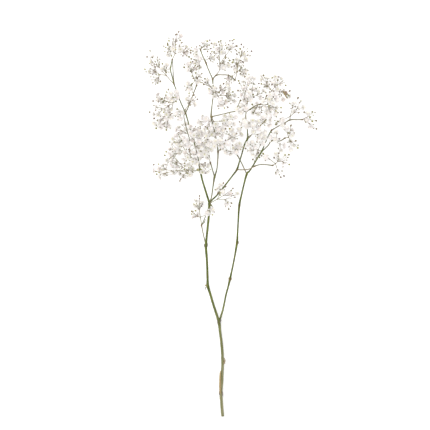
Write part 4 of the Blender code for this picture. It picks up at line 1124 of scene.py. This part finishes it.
class Crop:
    """What the sprays carry: twigs as lines, and a row for each knot, bloom, bud and opening bud."""

    def __init__(self, knots):
        self.twigs = Lines("thick", "tone")
        self.knots, self.blooms, self.buds, self.opening = knots, [], [], []

    def take_twigs(self, spray, seat, draw):
        """The forking twigs with their knots; the first twig starts in the middle of the stem's knot."""
        for (points, start, end), (at, radius) in zip(spray.twigs, spray.forks):
            if at is spray.forks[0][0]:
                points = [seat] + points
            way = smooth_way([(*p,) for p in points], TWIG_STEP)
            n = len(way) - 1
            thick = [(start + (end - start) * k / n) * 0.92 for k in range(n + 1)]
            self.twigs.add(way, thick=thick, tone=draw.uniform(0, 0.6))
            self.knots.append((at, (points[-1] - points[-2]).normalized(), 0.0, radius * 0.8))

    def take_tips(self, spray, thick, airy, draw):
        """The planned blooms and buds on their stalks, which taper outwards."""
        for tip in spray.stalked:
            bloom = tip["kind"] == "bloom"
            way = smooth_way([(*p,) for p in tip["stalk"]], TWIG_STEP)
            n = len(way) - 1
            base = thick * (0.80 if bloom else 0.72)
            taper = [base * (1.1 - 0.2 * k / n) for k in range(n + 1)]
            self.twigs.add(way, thick=taper, tone=draw.uniform(0.2, 1.0))
            row = (tip["at"], tip["face"], tip["turn"], tip["size"], draw.random(), airy)
            (self.blooms if bloom else self.buds).append(row)

    def add_bud(self, at, fork, thick, airy, draw):
        """One small bud, shut or just opening, on a bent stalk from its fork."""
        face = (at - fork).normalized()
        bend = (fork + at) / 2 + anywhere(draw) * 0.6 * MM
        way = smooth_way([(*fork,), (*bend,), (*at,)], TWIG_STEP)
        self.twigs.add(way, thick=thick * 0.58, tone=draw.uniform(0.2, 1.0))
        turn, tone = draw.uniform(0, 6.28), draw.random()
        if draw.random() < OPENING_SHARE:
            side = Vector((face.x, face.y, face.z * 0.3 - 0.1)).normalized()
            self.opening.append((at, side, turn, draw.uniform(2.1, 2.8) * MM, tone, airy))
        else:
            self.buds.append((at, face, turn, BUD_RADIUS * draw.uniform(0.6, 0.95), tone, airy))

    def fill_umbel(self, umbel, forks, taken, more, thick, airy, draw):
        """Small buds in an umbel's gaps, for those that the solids leave out and some more."""
        ux, uy, spread, height, bloom_count, bud_count = umbel
        middle = place(ux, uy, height)
        left_out = bud_count - int(bud_count * BUD_SHARE + 0.5)
        for _ in range(round((left_out + bloom_count + more) * (1 - AIRY_LOSS * airy))):
            for attempt in range(BUD_TRIES):
                reach = spread * SCALE * draw.uniform(0.5, 1.15)
                at = middle + anywhere(draw) * reach + Vector((0, 0, draw.uniform(0, 4) * MM))
                fork = min(forks, key=lambda spot: (spot - at).length)
                apart = BUD_SPACE * (1.0 - attempt / BUD_EASING)
                free = all((at - other).xy.length > apart for other in taken)
                if free and (at - fork).length < BUD_REACH and at.z > BUD_FLOOR:
                    taken.append(at)
                    self.add_bud(at, fork, thick, airy, draw)
                    break


def harvest(draw):
    """Gather the planned sprays and fill their umbels."""
    crop = Crop(stem_joints())
    for name, spray in plan_sprays().items():
        knot, umbels = SPRAYS[name]
        airy = AIRY_SPRAYS.get(name, 0.0)
        thick = STALK_RADIUS * (1 - AIRY_THIN * airy)
        more = MORE_BUDS if name in LIGHT_SPRAYS else 1
        crop.take_twigs(spray, place(*KNOT_AT[knot][:3]), draw)
        crop.take_tips(spray, thick, airy, draw)
        forks = [at for at, _ in spray.forks]
        taken = [tip["at"] for tip in spray.stalked]
        for umbel in umbels:
            crop.fill_umbel(umbel, forks, taken, more, thick, airy, draw)
    return crop


HEAD_KEYS = ("face", "turn", "size", "tone")
BLOOM_KEYS = (*HEAD_KEYS, "wilt", "open", "kind", "airy")


def bloom_rows(blooms, draw):
    """Each bloom with its wilting, how far it is open and which of the rosettes it is."""
    wilted = place(*WILTED_SPOT)
    rows = []
    for at, face, turn, size, tone, airy in blooms:
        wilt = 1.0 if (at - wilted).xy.length < WILTED_REACH else (0.25 if tone > 0.95 else 0.0)
        opened = draw.uniform(0.92, 1.06) * (0.84 if wilt else 1.0)
        foot = at - face * size * 0.32
        rows.append((foot, face, turn, size, tone, wilt, opened, draw.randrange(ROSETTES), airy))
    return rows


def cup_rows(heads, drop, share):
    """A calyx under each head, as far below it and as wide as these shares of its size."""
    return [(at - face * size * drop, face, turn, size * share, tone)
            for at, face, turn, size, tone, _ in heads]


def dress():
    """Every piece of the stem and its sprays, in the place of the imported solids."""
    stem = grow_stems("stem_bark", bark_lines().mesh("stem_lines"), stem_bark(), 12)
    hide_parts("stem")

    draw = random.Random(SEED + 999)
    crop = harvest(draw)
    twigs = grow_stems("twigs", crop.twigs.mesh("twig_lines"), twig_skin(), 6)
    points = spot_mesh("bloom_points", BLOOM_KEYS, bloom_rows(crop.blooms, draw))
    white = petal_white()
    inner = grow_petals("petals_inner", points.copy(), INNER_LAYERS, white)
    outer = grow_petals("petals_outer", points, OUTER_LAYERS, white)
    rows = [(*head[:5], 0.0, OPENING_SPREAD, draw.randrange(ROSETTES), head[5]) for head in crop.opening]
    points = spot_mesh("opening_points", BLOOM_KEYS, rows)
    opening = grow_petals("petals_opening", points, INNER_LAYERS, white)
    rows = cup_rows(crop.blooms, 0.62, 1.0) + cup_rows(crop.opening, 0.6, 1.3)
    rows += cup_rows(crop.buds, 1.25, 1.95)
    cups = grow_cups("calyxes", spot_mesh("cup_points", HEAD_KEYS, rows), calyx_skin())
    buds = grow_buds("buds", spot_mesh("bud_points", HEAD_KEYS, crop.buds), bud_skin())
    knots = grow_knots("knots", spot_mesh("knot_points", HEAD_KEYS[:3], crop.knots), knot_skin())
    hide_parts(*SPRAYS)


PHOTO_PIXELS = 430           # the photograph's width and height
HEAD_HEIGHT = 0.035          # the level at which the picture's scale holds
FLOOR_DROP = 0.0002          # the floor lies this far under the part


def lay_floor():
    """A plain pale floor."""
    bpy.ops.mesh.primitive_plane_add(size=30, location=(0, 0, -FLOOR_DROP))
    floor = bpy.context.object
    floor.name = "floor"
    stuff, tree, shader = material("floor_white")
    pale = tree.blend((0.94, 0.94, 0.94), (0.92, 0.92, 0.92), speckle(tree, 3.0))
    tree.feed(pale, shader, "Base Color")
    shader.inputs["Roughness"].default_value = 0.9
    shader.inputs["Specular IOR Level"].default_value = 0.0
    shader.inputs["Emission Color"].default_value = (1, 1, 1, 1)
    shader.inputs["Emission Strength"].default_value = 0.25
    floor.data.materials.append(stuff)


def light_studio():
    """Soft white light from all round, and a large lamp from the upper left."""
    scene = bpy.context.scene
    scene.world = bpy.data.worlds.new("studio")
    scene.world.use_nodes = True
    sky = scene.world.node_tree.nodes["Background"]
    sky.inputs["Color"].default_value = (1, 1, 1, 1)
    sky.inputs["Strength"].default_value = 0.95

    light = bpy.data.lights.new("key", "AREA")
    light.energy = 36
    light.size = 2.4
    key = bpy.data.objects.new("key", light)
    key.location = (-1.3, 1.0, 2.2)
    key.rotation_euler = (Vector((0, 0.05, 0)) - key.location).to_track_quat("-Z", "Y").to_euler()
    scene.collection.objects.link(key)


def set_camera():
    """A long lens straight above, as the photograph looks at the stem."""
    lens = bpy.data.cameras.new("camera")
    lens.lens = 600
    lens.sensor_width = 36
    lens.clip_end = 50
    camera = bpy.data.objects.new("camera", lens)
    across = PHOTO_PIXELS * SCALE
    x = (PHOTO_PIXELS / 2 - MIDDLE_X) * SCALE
    y = (MIDDLE_Y - PHOTO_PIXELS / 2) * SCALE
    camera.location = (x, y, across * lens.lens / lens.sensor_width + HEAD_HEIGHT)
    scene = bpy.context.scene
    scene.collection.objects.link(camera)
    scene.camera = camera
    scene.view_settings.view_transform = "Standard"
    scene.view_settings.look = "None"
    scene.view_settings.exposure = 0.0


dress()
lay_floor()
light_studio()
set_camera()
